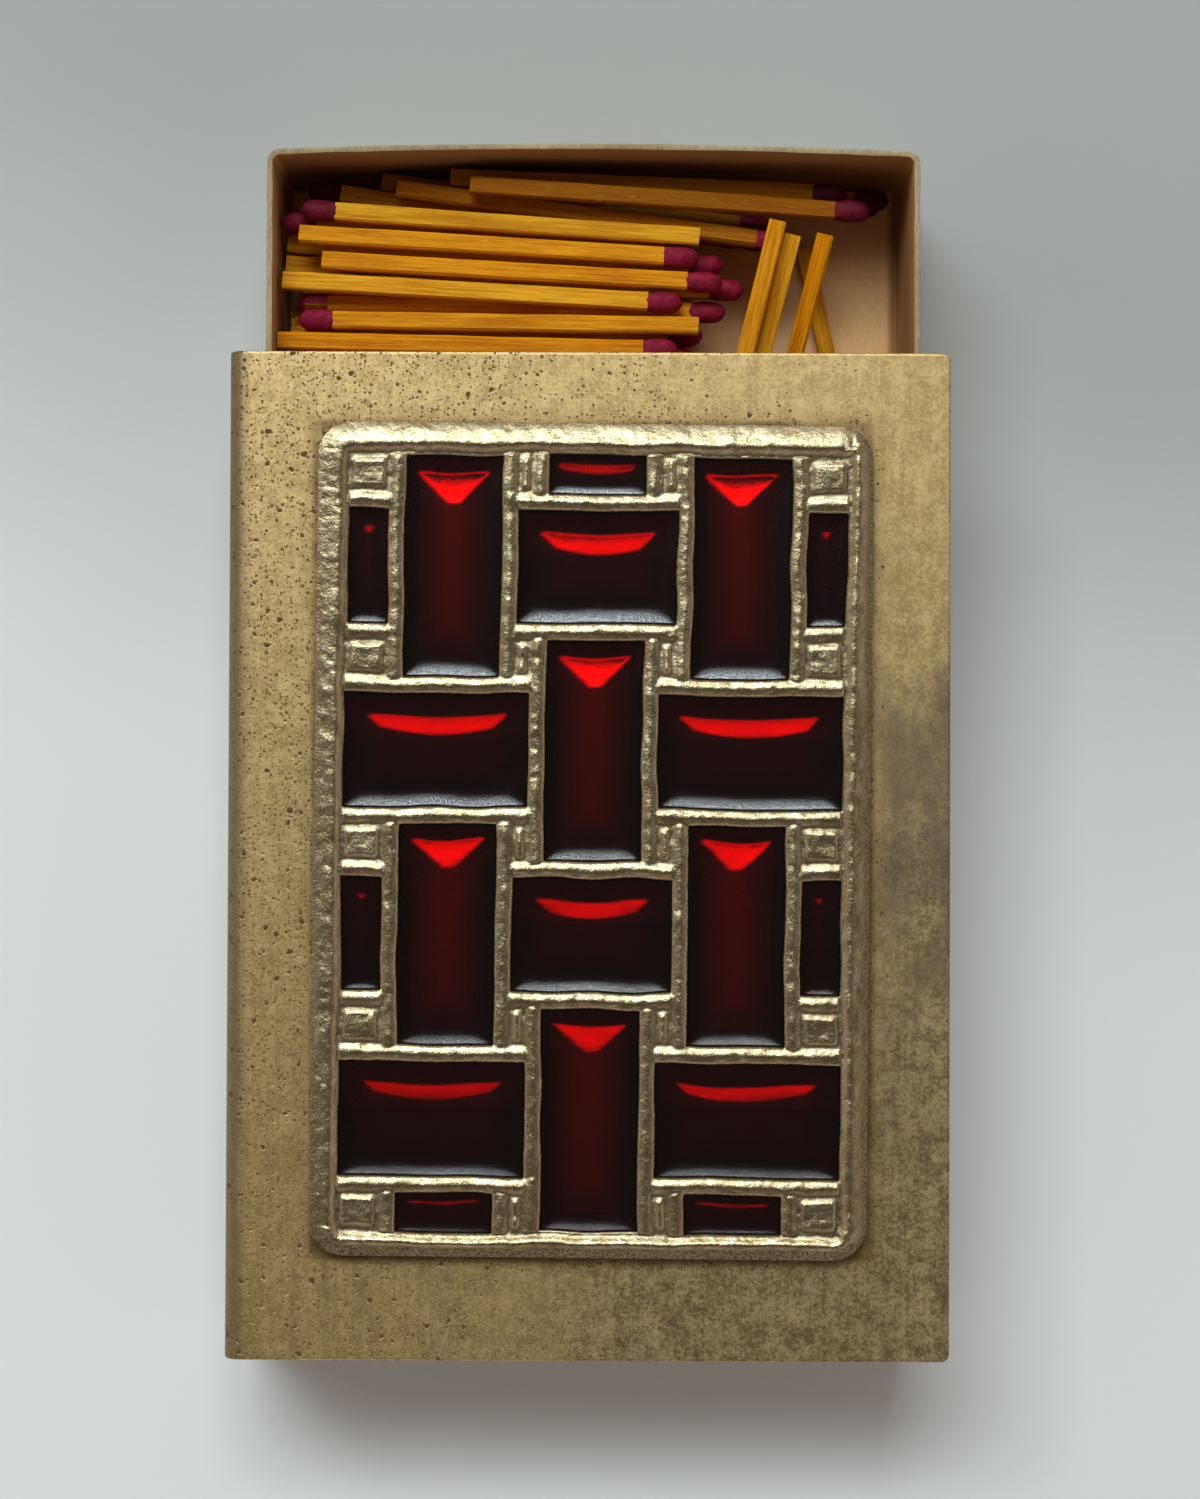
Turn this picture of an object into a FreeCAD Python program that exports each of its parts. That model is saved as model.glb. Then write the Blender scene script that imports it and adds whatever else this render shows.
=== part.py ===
import FreeCAD, Part
import math
import os
import re

import Sketcher
from FreeCAD import Placement, Rotation, Vector

# A matchbox holder: a brass sheet bent round three sides of a large matchbox, with a cast
# basket-weave plaque of enamelled cells on its front. It lies on its back plate.
# X runs across the holder, Y along the matchbox and Z up from the table to the plaque.
# The origin is the middle of the back plate's underside.

# Driving dimensions, in millimetres and degrees. A name that ends in share is a plain ratio.

SIZES = {
    # Matches
    "match_length": 43.5,
    "stick_width": 1.95,
    "head_length": 3.8,
    "head_width": 2.4,
    "head_bevel": 0.55,
    "match_gap": 0.05,
    # Tray of the matchbox
    "tray_width": 70.2,
    "tray_length": 105.0,
    "tray_height": 18.9,
    "tray_wall": 0.75,
    "tray_floor": 0.9,
    "tray_corner_radius": 1.4,
    "tray_end_bow": 0.75,
    "tray_pull": 23.05,
    # Sleeve of the matchbox
    "sleeve_length": 106.0,
    "sleeve_wall": 0.7,
    "sleeve_fold_radius": 0.5,
    "tray_side_play": 0.6,
    "tray_height_play": 0.25,
    "striker_thickness": 0.15,
    "striker_end_margin": 3.0,
    "striker_edge_margin": 2.0,
    # Bent sheet
    "holder_width": 76.8,
    "holder_length": 107.0,
    "sheet_thickness": 0.8,
    "bend_radius": 1.8,
    "free_corner_radius": 0.9,
    "edge_round": 0.22,
    "sleeve_height_play": 0.2,
    "sleeve_setback": 1.5,
    # Cast plaque
    "plaque_width": 58.7,
    "plaque_length": 88.1,
    "plaque_corner_radius": 3.7,
    "plaque_base_height": 1.5,
    "plaque_off_middle": 0.4,
    "plaque_above_middle": 1.65,
    "plaque_skew": -0.4,
    "rim_width": 3.0,
    "rim_rise": 0.8,
    "rim_outer_round": 1.1,
    "rim_inner_round": 0.5,
    "window_corner_radius": 0.9,
    # Weave on the plaque
    "upright_width": 10.2,
    "upright_length": 23.3,
    "cross_width": 16.75,
    "cross_length": 12.0,
    "rib_gap": 1.8,
    "rib_ledge": 0.08,
    "rib_rise": 0.62,
    "rib_shoulder_share": 0.46,
    "pad_groove": 0.22,
    "pad_rise": 0.38,
    "pad_taper": 0.16,
    # Enamel in the cells
    "cell_depth": 1.2,
    "enamel_below_base": 0.05,
    "crown_run_share": 0.46,
    "crown_rise_share": 0.105,
    "dish_fall_share": 0.06,
}

# Sizes worked out from the driving ones, so that what fits keeps fitting

WORKED_OUT = {
    "tray_inside_width": "tray_width - 2 * tray_wall",
    "tray_inside_length": "tray_length - 2 * tray_wall",
    "sleeve_inside_width": "tray_width + 2 * tray_side_play",
    "sleeve_inside_height": "tray_height + 2 * tray_height_play",
    "sleeve_width": "sleeve_inside_width + 2 * sleeve_wall",
    "sleeve_height": "sleeve_inside_height + 2 * sleeve_wall",
    "sleeve_bottom": "sheet_thickness + sleeve_height_play",
    "sleeve_left": "sheet_thickness + sleeve_setback - holder_width / 2",
    "matchbox_middle": "sleeve_left + sleeve_width / 2",
    "tray_bottom": "sleeve_bottom + sleeve_wall + tray_height_play",
    "holder_height": "2 * sheet_thickness + 2 * sleeve_height_play + sleeve_height",
    "bend_inside_radius": "bend_radius - sheet_thickness",
    "window_width": "plaque_width - 2 * rim_width",
    "window_length": "plaque_length - 2 * rim_width",
    "pitch_across": "(upright_width + cross_width) / 2 + rib_gap",
    "pitch_along": "(upright_length + cross_length) / 2 + rib_gap",
    "rib_width": "rib_gap - 2 * rib_ledge",
    "rib_shoulder": "rib_shoulder_share * rib_width",
    "rib_height": "min(rib_rise; rib_shoulder)",
    "rim_top": "plaque_base_height + rim_rise",
    "border_inner": "pitch_across + upright_width / 2 + rib_gap",
    "enamel_height": "cell_depth - enamel_below_base",
    "cell_floor": "plaque_base_height - cell_depth",
}

WORD = re.compile(r"[a-z_]+")
SAME_PLACE = 1e-4
PARALLEL = 1 - 1e-6
QUARTER_TURN, HALF_TURN = 90, 180

doc = FreeCAD.newDocument("matchbox_holder")
sheet = doc.addObject("Spreadsheet::Sheet", "sizes")
for row, (alias, value) in enumerate(SIZES.items(), start=1):
    sheet.set(f"A{row}", alias)
    sheet.set(f"B{row}", str(value))
    sheet.setAlias(f"B{row}", alias)
doc.recompute()


def formula(text):
    """Write a size formula out in full, down to the cells of the sheet."""

    def swap(found):
        word = found.group()
        if word in WORKED_OUT:
            return f"({formula(WORKED_OUT[word])})"
        return f"sizes.{word}" if word in SIZES else word

    return WORD.sub(swap, text)


def number(text):
    """The value of a size formula as the sheet stands."""
    return float(sheet.evalExpression(formula(text)))


def bind(thing, texts, at=()):
    """Tie properties of an object, and the place that it stands at, to size formulas."""
    for name, text in texts.items():
        thing.setExpression(name, formula(text))
    for axis, text in zip("xyz", at):
        thing.setExpression(f"Placement.Base.{axis}", formula(text))
    return thing


def edges_where(shape, test):
    """The names of a shape's edges that pass a test."""
    return [f"Edge{place}" for place, edge in enumerate(shape.Edges, start=1) if test(edge)]


def runs_along(edge, axis):
    """Whether an edge is straight and parallel to an axis."""
    if not isinstance(edge.Curve, Part.Line):
        return False
    return abs(edge.tangentAt(edge.FirstParameter).dot(axis)) > PARALLEL


def near(value, text):
    """Whether a coordinate is where a size formula puts it."""
    return abs(value - number(text)) < SAME_PLACE


ACROSS, ALONG, UP = Vector(1, 0, 0), Vector(0, 1, 0), Vector(0, 0, 1)


# Sketches and features of a body


def attach(body, name, role):
    """An empty sketch on one of a body's origin planes."""
    sketch = body.newObject("Sketcher::SketchObject", name)
    plane = next(feature for feature in body.Origin.OriginFeatures if feature.Role == role)
    sketch.AttachmentSupport = [(plane, "")]
    sketch.MapMode = "FlatFace"
    return sketch


def hold(sketch, name, kind, *where, text):
    """A dimension of a sketch that follows a size formula."""
    place = sketch.addConstraint(Sketcher.Constraint(kind, *where, number(text)))
    sketch.renameConstraint(place, name)
    sketch.setExpression(f"Constraints.{name}", formula(text))


def join_ends(sketch, count):
    """Close a sketch whose edges follow one another."""
    for first in range(count):
        sketch.addConstraint(Sketcher.Constraint("Coincident", first, 2, (first + 1) % count, 1))


def rectangle(body, name, role, low, span):
    """A rectangle sketch from its low corner and its two spans."""
    sketch = attach(body, name, role)
    left, bottom = (number(text) for text in low)
    wide, tall = (number(text) for text in span)
    corners = [
        Vector(left, bottom),
        Vector(left + wide, bottom),
        Vector(left + wide, bottom + tall),
        Vector(left, bottom + tall),
    ]
    for first, corner in enumerate(corners):
        sketch.addGeometry(Part.LineSegment(corner, corners[(first + 1) % len(corners)]))
    join_ends(sketch, len(corners))
    for line, kind in enumerate(("Horizontal", "Vertical", "Horizontal", "Vertical")):
        sketch.addConstraint(Sketcher.Constraint(kind, line))
    hold(sketch, "from_left", "DistanceX", -1, 1, 0, 1, text=low[0])
    hold(sketch, "from_bottom", "DistanceY", -1, 1, 0, 1, text=low[1])
    hold(sketch, "wide", "DistanceX", 0, 1, 0, 2, text=span[0])
    hold(sketch, "tall", "DistanceY", 1, 1, 1, 2, text=span[1])
    return sketch


def pad(body, name, sketch, length, both_ways=False):
    """Raise a sketch, to one side or evenly to both."""
    feature = body.newObject("PartDesign::Pad", name)
    feature.Profile = sketch
    feature.Midplane = both_ways
    bind(feature, {"Length": length})
    doc.recompute()
    return feature


def pocket(body, name, sketch, depth, both_ways=False, upward=False):
    """Cut a sketch out of a body, to a depth or evenly to both sides."""
    before = body.Shape.Volume
    feature = body.newObject("PartDesign::Pocket", name)
    feature.Profile = sketch
    feature.Midplane = both_ways
    feature.Reversed = upward
    bind(feature, {"Length": depth})
    doc.recompute()
    if body.Shape.Volume >= before:
        raise RuntimeError(f"{name} cuts nothing")
    return feature


def round_edges(body, name, base, edges, radius):
    """Round named edges of a feature."""
    feature = body.newObject("PartDesign::Fillet", name)
    feature.Base = (base, edges)
    bind(feature, {"Radius": radius})
    doc.recompute()
    return feature


# Bent sheet: front plate, spine on the left and back plate, open on the right


def make_holder_shell():
    body = doc.addObject("PartDesign::Body", "holder_shell")
    left = "-holder_width / 2"
    outline = rectangle(body, "shell_outline", "XZ_Plane", (left, "0"), ("holder_width", "holder_height"))
    block = pad(body, "shell_block", outline, "holder_length", both_ways=True)
    spine = edges_where(
        block.Shape,
        lambda edge: runs_along(edge, ALONG) and near(edge.CenterOfMass.x, left),
    )
    bent = round_edges(body, "outer_bends", block, spine, "bend_radius")
    channel = rectangle(
        body,
        "channel_outline",
        "XZ_Plane",
        ("sheet_thickness - holder_width / 2", "sheet_thickness"),
        ("holder_width", "holder_height - 2 * sheet_thickness"),
    )
    opened = pocket(body, "channel", channel, "2 * holder_length", both_ways=True)
    inner = edges_where(
        opened.Shape,
        lambda edge: runs_along(edge, ALONG)
        and near(edge.CenterOfMass.x, "sheet_thickness - holder_width / 2"),
    )
    hollow = round_edges(body, "inner_bends", opened, inner, "bend_inside_radius")
    corners = edges_where(
        hollow.Shape,
        lambda edge: runs_along(edge, UP) and near(edge.CenterOfMass.x, "holder_width / 2"),
    )
    cornered = round_edges(body, "free_corners", hollow, corners, "free_corner_radius")
    front = edges_where(
        cornered.Shape,
        lambda edge: near(edge.BoundBox.ZMin, "holder_height")
        and not (runs_along(edge, ALONG) and edge.CenterOfMass.x < 0),
    )
    round_edges(body, "eased_front", cornered, front, "edge_round")
    return body


# Cardboard sleeve and its two striking surfaces


def make_sleeve():
    body = doc.addObject("PartDesign::Body", "matchbox_sleeve")
    low = ("-sleeve_width / 2", "0")
    outline = rectangle(body, "sleeve_outline", "XZ_Plane", low, ("sleeve_width", "sleeve_height"))
    block = pad(body, "sleeve_block", outline, "sleeve_length", both_ways=True)
    folds = edges_where(block.Shape, lambda edge: runs_along(edge, ALONG))
    folded = round_edges(body, "sleeve_folds", block, folds, "sleeve_fold_radius")
    inside = rectangle(
        body,
        "sleeve_inside",
        "XZ_Plane",
        ("-sleeve_inside_width / 2", "sleeve_wall"),
        ("sleeve_inside_width", "sleeve_inside_height"),
    )
    pocket(body, "sleeve_bore", inside, "2 * sleeve_length", both_ways=True)
    return bind(body, {}, at=("matchbox_middle", "0", "sleeve_bottom"))


def make_striker(label, left):
    """A thin strip of striking paste on one narrow side of the sleeve."""
    strip = doc.addObject("Part::Box", label)
    spans = {
        "Length": "striker_thickness",
        "Width": "sleeve_length - 2 * striker_end_margin",
        "Height": "sleeve_height - 2 * striker_edge_margin",
    }
    start = ("striker_end_margin - sleeve_length / 2", "sleeve_bottom + striker_edge_margin")
    return bind(strip, spans, at=(left, *start))


# Cardboard tray with bowed ends


def bowed_outline(body, name, width, length):
    """A rectangle in plan whose two ends bulge outwards in shallow arcs."""
    sketch = attach(body, name, "XY_Plane")
    x, y = number(width) / 2, number(length) / 2
    tip = y + number("tray_end_bow")
    outline = [
        Part.LineSegment(Vector(x, -y), Vector(x, y)),
        Part.Arc(Vector(x, y), Vector(0, tip), Vector(-x, y)),
        Part.LineSegment(Vector(-x, y), Vector(-x, -y)),
        Part.Arc(Vector(-x, -y), Vector(0, -tip), Vector(x, -y)),
    ]
    sketch.addGeometry(outline)
    join_ends(sketch, len(outline))
    for side in (0, 2):
        sketch.addConstraint(Sketcher.Constraint("Vertical", side))
    for end in (1, 3):
        sketch.addConstraint(Sketcher.Constraint("PointOnObject", end, 3, -2))
    hold(sketch, "right_side", "DistanceX", -1, 1, 0, 2, text=f"{width} / 2")
    hold(sketch, "wide", "DistanceX", 2, 1, 0, 2, text=width)
    hold(sketch, "far_end", "DistanceY", -1, 1, 0, 2, text=f"{length} / 2")
    hold(sketch, "long", "DistanceY", 0, 1, 0, 2, text=length)
    bow_radius = f"({width} * {width} / 4 + tray_end_bow * tray_end_bow) / (2 * tray_end_bow)"
    hold(sketch, "far_bow", "Radius", 1, text=bow_radius)
    hold(sketch, "near_bow", "Radius", 3, text=bow_radius)
    return sketch


def make_tray():
    body = doc.addObject("PartDesign::Body", "matchbox_tray")
    outline = bowed_outline(body, "tray_outline", "tray_width", "tray_length")
    block = pad(body, "tray_block", outline, "tray_height")
    corners = edges_where(block.Shape, lambda edge: runs_along(edge, UP))
    rounded = round_edges(body, "tray_corners", block, corners, "tray_corner_radius")
    inside = bowed_outline(body, "tray_inside", "tray_inside_width", "tray_inside_length")
    bind(inside, {"AttachmentOffset.Base.z": "tray_floor"})
    doc.recompute()
    hollow = pocket(body, "tray_hollow", inside, "tray_height", upward=True)
    inner = edges_where(
        hollow.Shape,
        lambda edge: runs_along(edge, UP) and near(abs(edge.CenterOfMass.x), "tray_inside_width / 2"),
    )
    round_edges(body, "tray_inner_corners", hollow, inner, "tray_corner_radius - tray_wall")
    return bind(body, {}, at=("matchbox_middle", "tray_pull", "tray_bottom"))


# Vaults: low four-sided domes with groins at the corners, for crowned floors and dished tops

UPRIGHT_ARCH = {
    "across": Rotation(ACROSS, UP, ALONG.negative(), "ZXY"),
    "along": Rotation(ALONG, UP, ACROSS, "ZXY"),
}
HANGING_ARCH = {
    "across": Rotation(ACROSS, UP.negative(), ALONG, "ZXY"),
    "along": Rotation(ALONG, UP.negative(), ACROSS.negative(), "ZXY"),
}


def arch_sketch(name, span, shoulder, rise, turn):
    """A flat-bottomed arch that rises over its two shoulders and is level between them."""
    sketch = doc.addObject("Sketcher::SketchObject", name)
    half, run, top = number(span) / 2, number(shoulder), number(rise)
    radius = (run * run + top * top) / (2 * top)
    swing = math.asin(run / radius)
    right_hub, left_hub = Vector(half - run, top - radius), Vector(run - half, top - radius)
    quarter = math.pi / 2
    outline = [
        Part.LineSegment(Vector(-half, 0), Vector(half, 0)),
        Part.ArcOfCircle(Part.Circle(right_hub, UP, radius), quarter - swing, quarter),
        Part.LineSegment(Vector(half - run, top), Vector(run - half, top)),
        Part.ArcOfCircle(Part.Circle(left_hub, UP, radius), quarter, quarter + swing),
    ]
    sketch.addGeometry(outline)
    join_ends(sketch, len(outline))
    sketch.addConstraint(Sketcher.Constraint("Horizontal", 0))
    sketch.addConstraint(Sketcher.Constraint("Horizontal", 2))
    sketch.addConstraint(Sketcher.Constraint("Symmetric", 0, 1, 0, 2, -1, 1))
    sketch.addConstraint(Sketcher.Constraint("Vertical", 1, 2, 1, 3))
    sketch.addConstraint(Sketcher.Constraint("Vertical", 3, 1, 3, 3))
    hold(sketch, "span", "DistanceX", 0, 1, 0, 2, text=span)
    hold(sketch, "rise", "DistanceY", 0, 2, 1, 2, text=rise)
    hold(sketch, "right_run", "DistanceX", 1, 2, 0, 2, text=shoulder)
    hold(sketch, "left_run", "DistanceX", 0, 1, 3, 1, text=shoulder)
    sketch.Placement = Placement(Vector(), turn)
    return sketch


def drawn_out(name, sketch, length):
    """A sketch drawn out evenly to both sides."""
    bar = doc.addObject("Part::Extrusion", name)
    bar.Base = sketch
    bar.DirMode = "Normal"
    bar.Symmetric = True
    bar.Solid = True
    return bind(bar, {"LengthFwd": length})


def combine(kind, name, base, tool):
    """A boolean of two objects."""
    result = doc.addObject(kind, name)
    result.Base = base
    result.Tool = tool
    return result


def make_vault(name, width, length, rise_share, turns):
    """Where an arch across and an arch along overlap: a dome that meets each wall at its foot."""
    shoulder = f"crown_run_share * min({width}; {length})"
    rise = f"{rise_share} * {shoulder}"
    across = arch_sketch(f"{name}_arch_across", width, shoulder, rise, turns["across"])
    along = arch_sketch(f"{name}_arch_along", length, shoulder, rise, turns["along"])
    return combine(
        "Part::Common",
        name,
        drawn_out(f"{name}_across", across, length),
        drawn_out(f"{name}_along", along, width),
    )


# Basket weave: upright and crosswise cells take turns, and the window cuts those at its edge short


def weave_cells():
    """Each cell's kind and its edges in the plaque's own frame: left, right, low and high."""
    edge_across, edge_along = "window_width / 2", "window_length / 2"
    cells = []
    for row_share in (2.5, 1.5, 0.5, -0.5, -1.5, -2.5):
        middle = f"({row_share} * pitch_along)"
        for column in (-2, -1, 0, 1, 2):
            centre = f"({column} * pitch_across)"
            upright = (column + int(row_share - 0.5)) % 2 == 0
            if upright and abs(column) < 2:
                low = f"max({middle} - upright_length / 2; -{edge_along})"
                high = f"min({middle} + upright_length / 2; {edge_along})"
                left, right = f"{centre} - upright_width / 2", f"{centre} + upright_width / 2"
                cells.append(("upright", left, right, low, high))
            elif not upright and abs(row_share) < 2:
                inner_left, inner_right = f"{centre} - cross_width / 2", f"{centre} + cross_width / 2"
                left = f"-{edge_across}" if column < 0 else inner_left
                right = edge_across if column > 0 else inner_right
                low, high = f"{middle} - cross_length / 2", f"{middle} + cross_length / 2"
                cells.append(("cross", left, right, low, high))
    return cells


def make_cell_forms(name, width, length):
    """The cavity of one size of cell over its crowned floor, and the enamel that fills it."""
    half = (f"-{width} / 2", f"-{length} / 2", "0")
    hole = bind(
        doc.addObject("Part::Box", f"{name}_hole"),
        {"Length": width, "Width": length, "Height": "cell_depth"},
        at=half,
    )
    fill = bind(
        doc.addObject("Part::Box", f"{name}_fill"),
        {"Length": width, "Width": length, "Height": "enamel_height"},
        at=half,
    )
    crown = make_vault(f"{name}_crown", width, length, "crown_rise_share", UPRIGHT_ARCH)
    dish = make_vault(f"{name}_dish", width, length, "dish_fall_share", HANGING_ARCH)
    bind(dish, {}, at=("0", "0", "enamel_height"))
    cavity = combine("Part::Cut", f"{name}_cavity", hole, crown)
    bedded = combine("Part::Cut", f"{name}_bedded", fill, crown)
    return cavity, combine("Part::Cut", f"{name}_enamel", bedded, dish)


def make_rim():
    """The plaque's slab with its raised, rounded rim round the weave's window."""
    body = doc.addObject("PartDesign::Body", "plaque_rim")
    low = ("-plaque_width / 2", "-plaque_length / 2")
    outline = rectangle(body, "rim_outline", "XY_Plane", low, ("plaque_width", "plaque_length"))
    block = pad(body, "rim_block", outline, "rim_top")
    corners = edges_where(block.Shape, lambda edge: runs_along(edge, UP))
    cornered = round_edges(body, "rim_corners", block, corners, "plaque_corner_radius")
    window = rectangle(
        body,
        "window_outline",
        "XY_Plane",
        ("-window_width / 2", "-window_length / 2"),
        ("window_width", "window_length"),
    )
    bind(window, {"AttachmentOffset.Base.z": "plaque_base_height"})
    doc.recompute()
    opened = pocket(body, "window", window, "2 * rim_rise", upward=True)
    inner = edges_where(
        opened.Shape,
        lambda edge: runs_along(edge, UP) and near(abs(edge.CenterOfMass.x), "window_width / 2"),
    )
    framed = round_edges(body, "window_corners", opened, inner, "window_corner_radius")
    inside = number("(window_width + rim_width) / 2")
    within = number("(window_length + rim_width) / 2")

    def on_top(edge, outside):
        reach = max(abs(edge.CenterOfMass.x) - inside, abs(edge.CenterOfMass.y) - within)
        return near(edge.BoundBox.ZMin, "rim_top") and (reach > 0) == outside

    outer = edges_where(framed.Shape, lambda edge: on_top(edge, True))
    softened = round_edges(body, "rim_outer_edge", framed, outer, "rim_outer_round")
    lip = edges_where(softened.Shape, lambda edge: on_top(edge, False))
    round_edges(body, "rim_inner_edge", softened, lip, "rim_inner_round")
    return body


def make_ribs(cells):
    """Half-round ribs beside each upright cell, and above and below each crosswise one."""
    profile = ("rib_width", "rib_shoulder", "rib_height")
    upright_arch = arch_sketch("rib_arch_upright", *profile, UPRIGHT_ARCH["across"])
    cross_arch = arch_sketch("rib_arch_cross", *profile, UPRIGHT_ARCH["along"])
    ribs = []
    for place, (kind, left, right, low, high) in enumerate(cells, start=1):
        for side, (near_edge, sign) in enumerate((((left, low), "-"), ((right, high), "+"))):
            name = f"rib_{place}_{'ab'[side]}"
            if kind == "upright":
                rib = drawn_out(name, upright_arch, f"{high} - ({low})")
                at = (f"{near_edge[0]} {sign} rib_gap / 2", f"({low} + {high}) / 2")
            else:
                rib = drawn_out(name, cross_arch, f"{right} - ({left})")
                at = (f"({left} + {right}) / 2", f"{near_edge[1]} {sign} rib_gap / 2")
            ribs.append(bind(rib, {}, at=(*at, "plaque_base_height")))
    return ribs


def make_pads():
    """Low tapered pads in the gaps that the ribs leave, square ones along the two side edges."""
    gap_width = "(pitch_across - upright_width - 2 * rib_gap)"
    gap_length = "(pitch_along - cross_length - 2 * rib_gap)"
    border_width = "(window_width / 2 - border_inner)"
    columns = {
        "far_left": (f"-border_inner - {border_width} / 2", border_width),
        "left": ("-pitch_across / 2", gap_width),
        "right": ("pitch_across / 2", gap_width),
        "far_right": (f"border_inner + {border_width} / 2", border_width),
    }
    pads = []
    for step in (2, 1, 0, -1, -2):
        for column, (middle, width) in columns.items():
            half_width, half_length = f"({width} / 2 - pad_groove)", f"({gap_length} / 2 - pad_groove)"
            block = doc.addObject("Part::Wedge", f"pad_{column}_{step + 2}")
            block.Placement = Placement(Vector(), Rotation(ACROSS, QUARTER_TURN))
            bind(
                block,
                {
                    "Xmin": f"-{half_width}",
                    "Xmax": half_width,
                    "Zmin": f"-{half_length}",
                    "Zmax": half_length,
                    "Ymin": "0",
                    "Ymax": "pad_rise",
                    "X2min": f"pad_taper - {half_width}",
                    "X2max": f"{half_width} - pad_taper",
                    "Z2min": f"pad_taper - {half_length}",
                    "Z2max": f"{half_length} - pad_taper",
                },
                at=(middle, f"{step} * pitch_along", "plaque_base_height"),
            )
            pads.append(block)
    return pads


def make_plaque():
    """The cast plaque and one piece of enamel for each of its cells."""
    cells = weave_cells()
    raised = doc.addObject("Part::MultiFuse", "raised_weave")
    raised.Shapes = [make_rim(), *make_ribs(cells), *make_pads()]
    forms = {}
    holes, fills = [], []
    doc.recompute()
    seat = Placement(
        Vector(number("plaque_off_middle"), number("plaque_above_middle"), number("holder_height")),
        Rotation(UP, number("plaque_skew")),
    )
    for place, (kind, left, right, low, high) in enumerate(cells, start=1):
        width, length = f"({right} - ({left}))", f"({high} - ({low}))"
        size = (round(number(width) / SAME_PLACE), round(number(length) / SAME_PLACE))
        if size not in forms:
            forms[size] = make_cell_forms(f"cell_form_{len(forms) + 1}", width, length)
            doc.recompute()
        cavity, enamel = forms[size]
        middle = Vector(
            number(f"({left} + {right}) / 2"),
            number(f"({low} + {high}) / 2"),
            number("cell_floor"),
        )
        hole = doc.addObject("Part::Feature", f"cell_hole_{place}")
        hole.Shape = cavity.Shape
        hole.Placement = Placement(middle, Rotation())
        holes.append(hole)
        fill = doc.addObject("Part::Feature", f"enamel_cell_{place:02d}")
        fill.Shape = enamel.Shape
        fill.Placement = seat.multiply(Placement(middle, Rotation()))
        fills.append(fill)
    all_holes = doc.addObject("Part::Compound", "cell_holes")
    all_holes.Links = holes
    plaque = combine("Part::Cut", "weave_plaque", raised, all_holes)
    plaque.Placement = seat
    return [plaque, *fills]


# Matches lie in level layers from the tray's floor up, heads to either side. In a layer each match
# is pushed towards the far end until it meets those before it. A row of a table holds its place as
# a share of the free room across the tray, the turn of its head from +X in degrees, and the slack
# left before it as a share of the stick's width.

LAYERS_SHARES = [
    [(0.92, -0.9, 0.0), (0.33, -4.1, 0.2)],
    [(0.44, -7.0, 0.0)],
    [(0.94, -1.6, -0.1), (0.13, 168.9, 0.0)],
    [(0.43, -6.6, -0.15), (0.10, 171.3, 0.0), (0.02, -4.8, 0.6), (0.01, -5.3, 0.1)],
    [
        (0.74, -2.2, -0.15),
        (0.50, -7.7, 0.0),
        (0.0, 176.8, 0.0),
        (0.20, -1.8, 0.0),
        (0.29, -0.7, 0.1),
        (0.21, -1.2, 0.0),
        (0.11, -1.1, 0.1),
    ],
    [
        (0.83, -3.8, 0.5),
        (0.095, 176.2, 1.0),
        (0.09, -3.3, 0.05),
        (0.19, -3.1, 0.05),
        (0.02, -3.1, 0.0),
        (0.09, 179.3, 0.1),
        (0.0, -1.1, 0.05),
        (0.03, -1.3, 0.1),
    ],
]

# Plain rows that follow in each layer: where they stop as a share of the tray's length, their turn,
# how they drift to the right by shares of the free room, and how often a head points to the left

ROWS_STOP_SHARES = [0.80, 0.60, 0.27, 0.26, 0.25, 0.0]
ROWS_TURN = [0.7, -0.9, 0.4, -1.6, -1.2, 0.0]
DRIFT_STEP_SHARE = 0.618
DRIFT_REACH_SHARE = 0.11
HEAD_LEFT_EVERY = 3

# Matches that lie lengthwise over the layers: shares of the free room across and along, and the turn

LENGTHWISE_SHARES = [
    (1.0, 0.107, -77.4),
    (0.86, 0.106, -103.6),
    (0.795, 0.113, -103.9),
    (0.765, 0.095, -103.5),
    (0.64, 0.34, -112.0),
]


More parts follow.
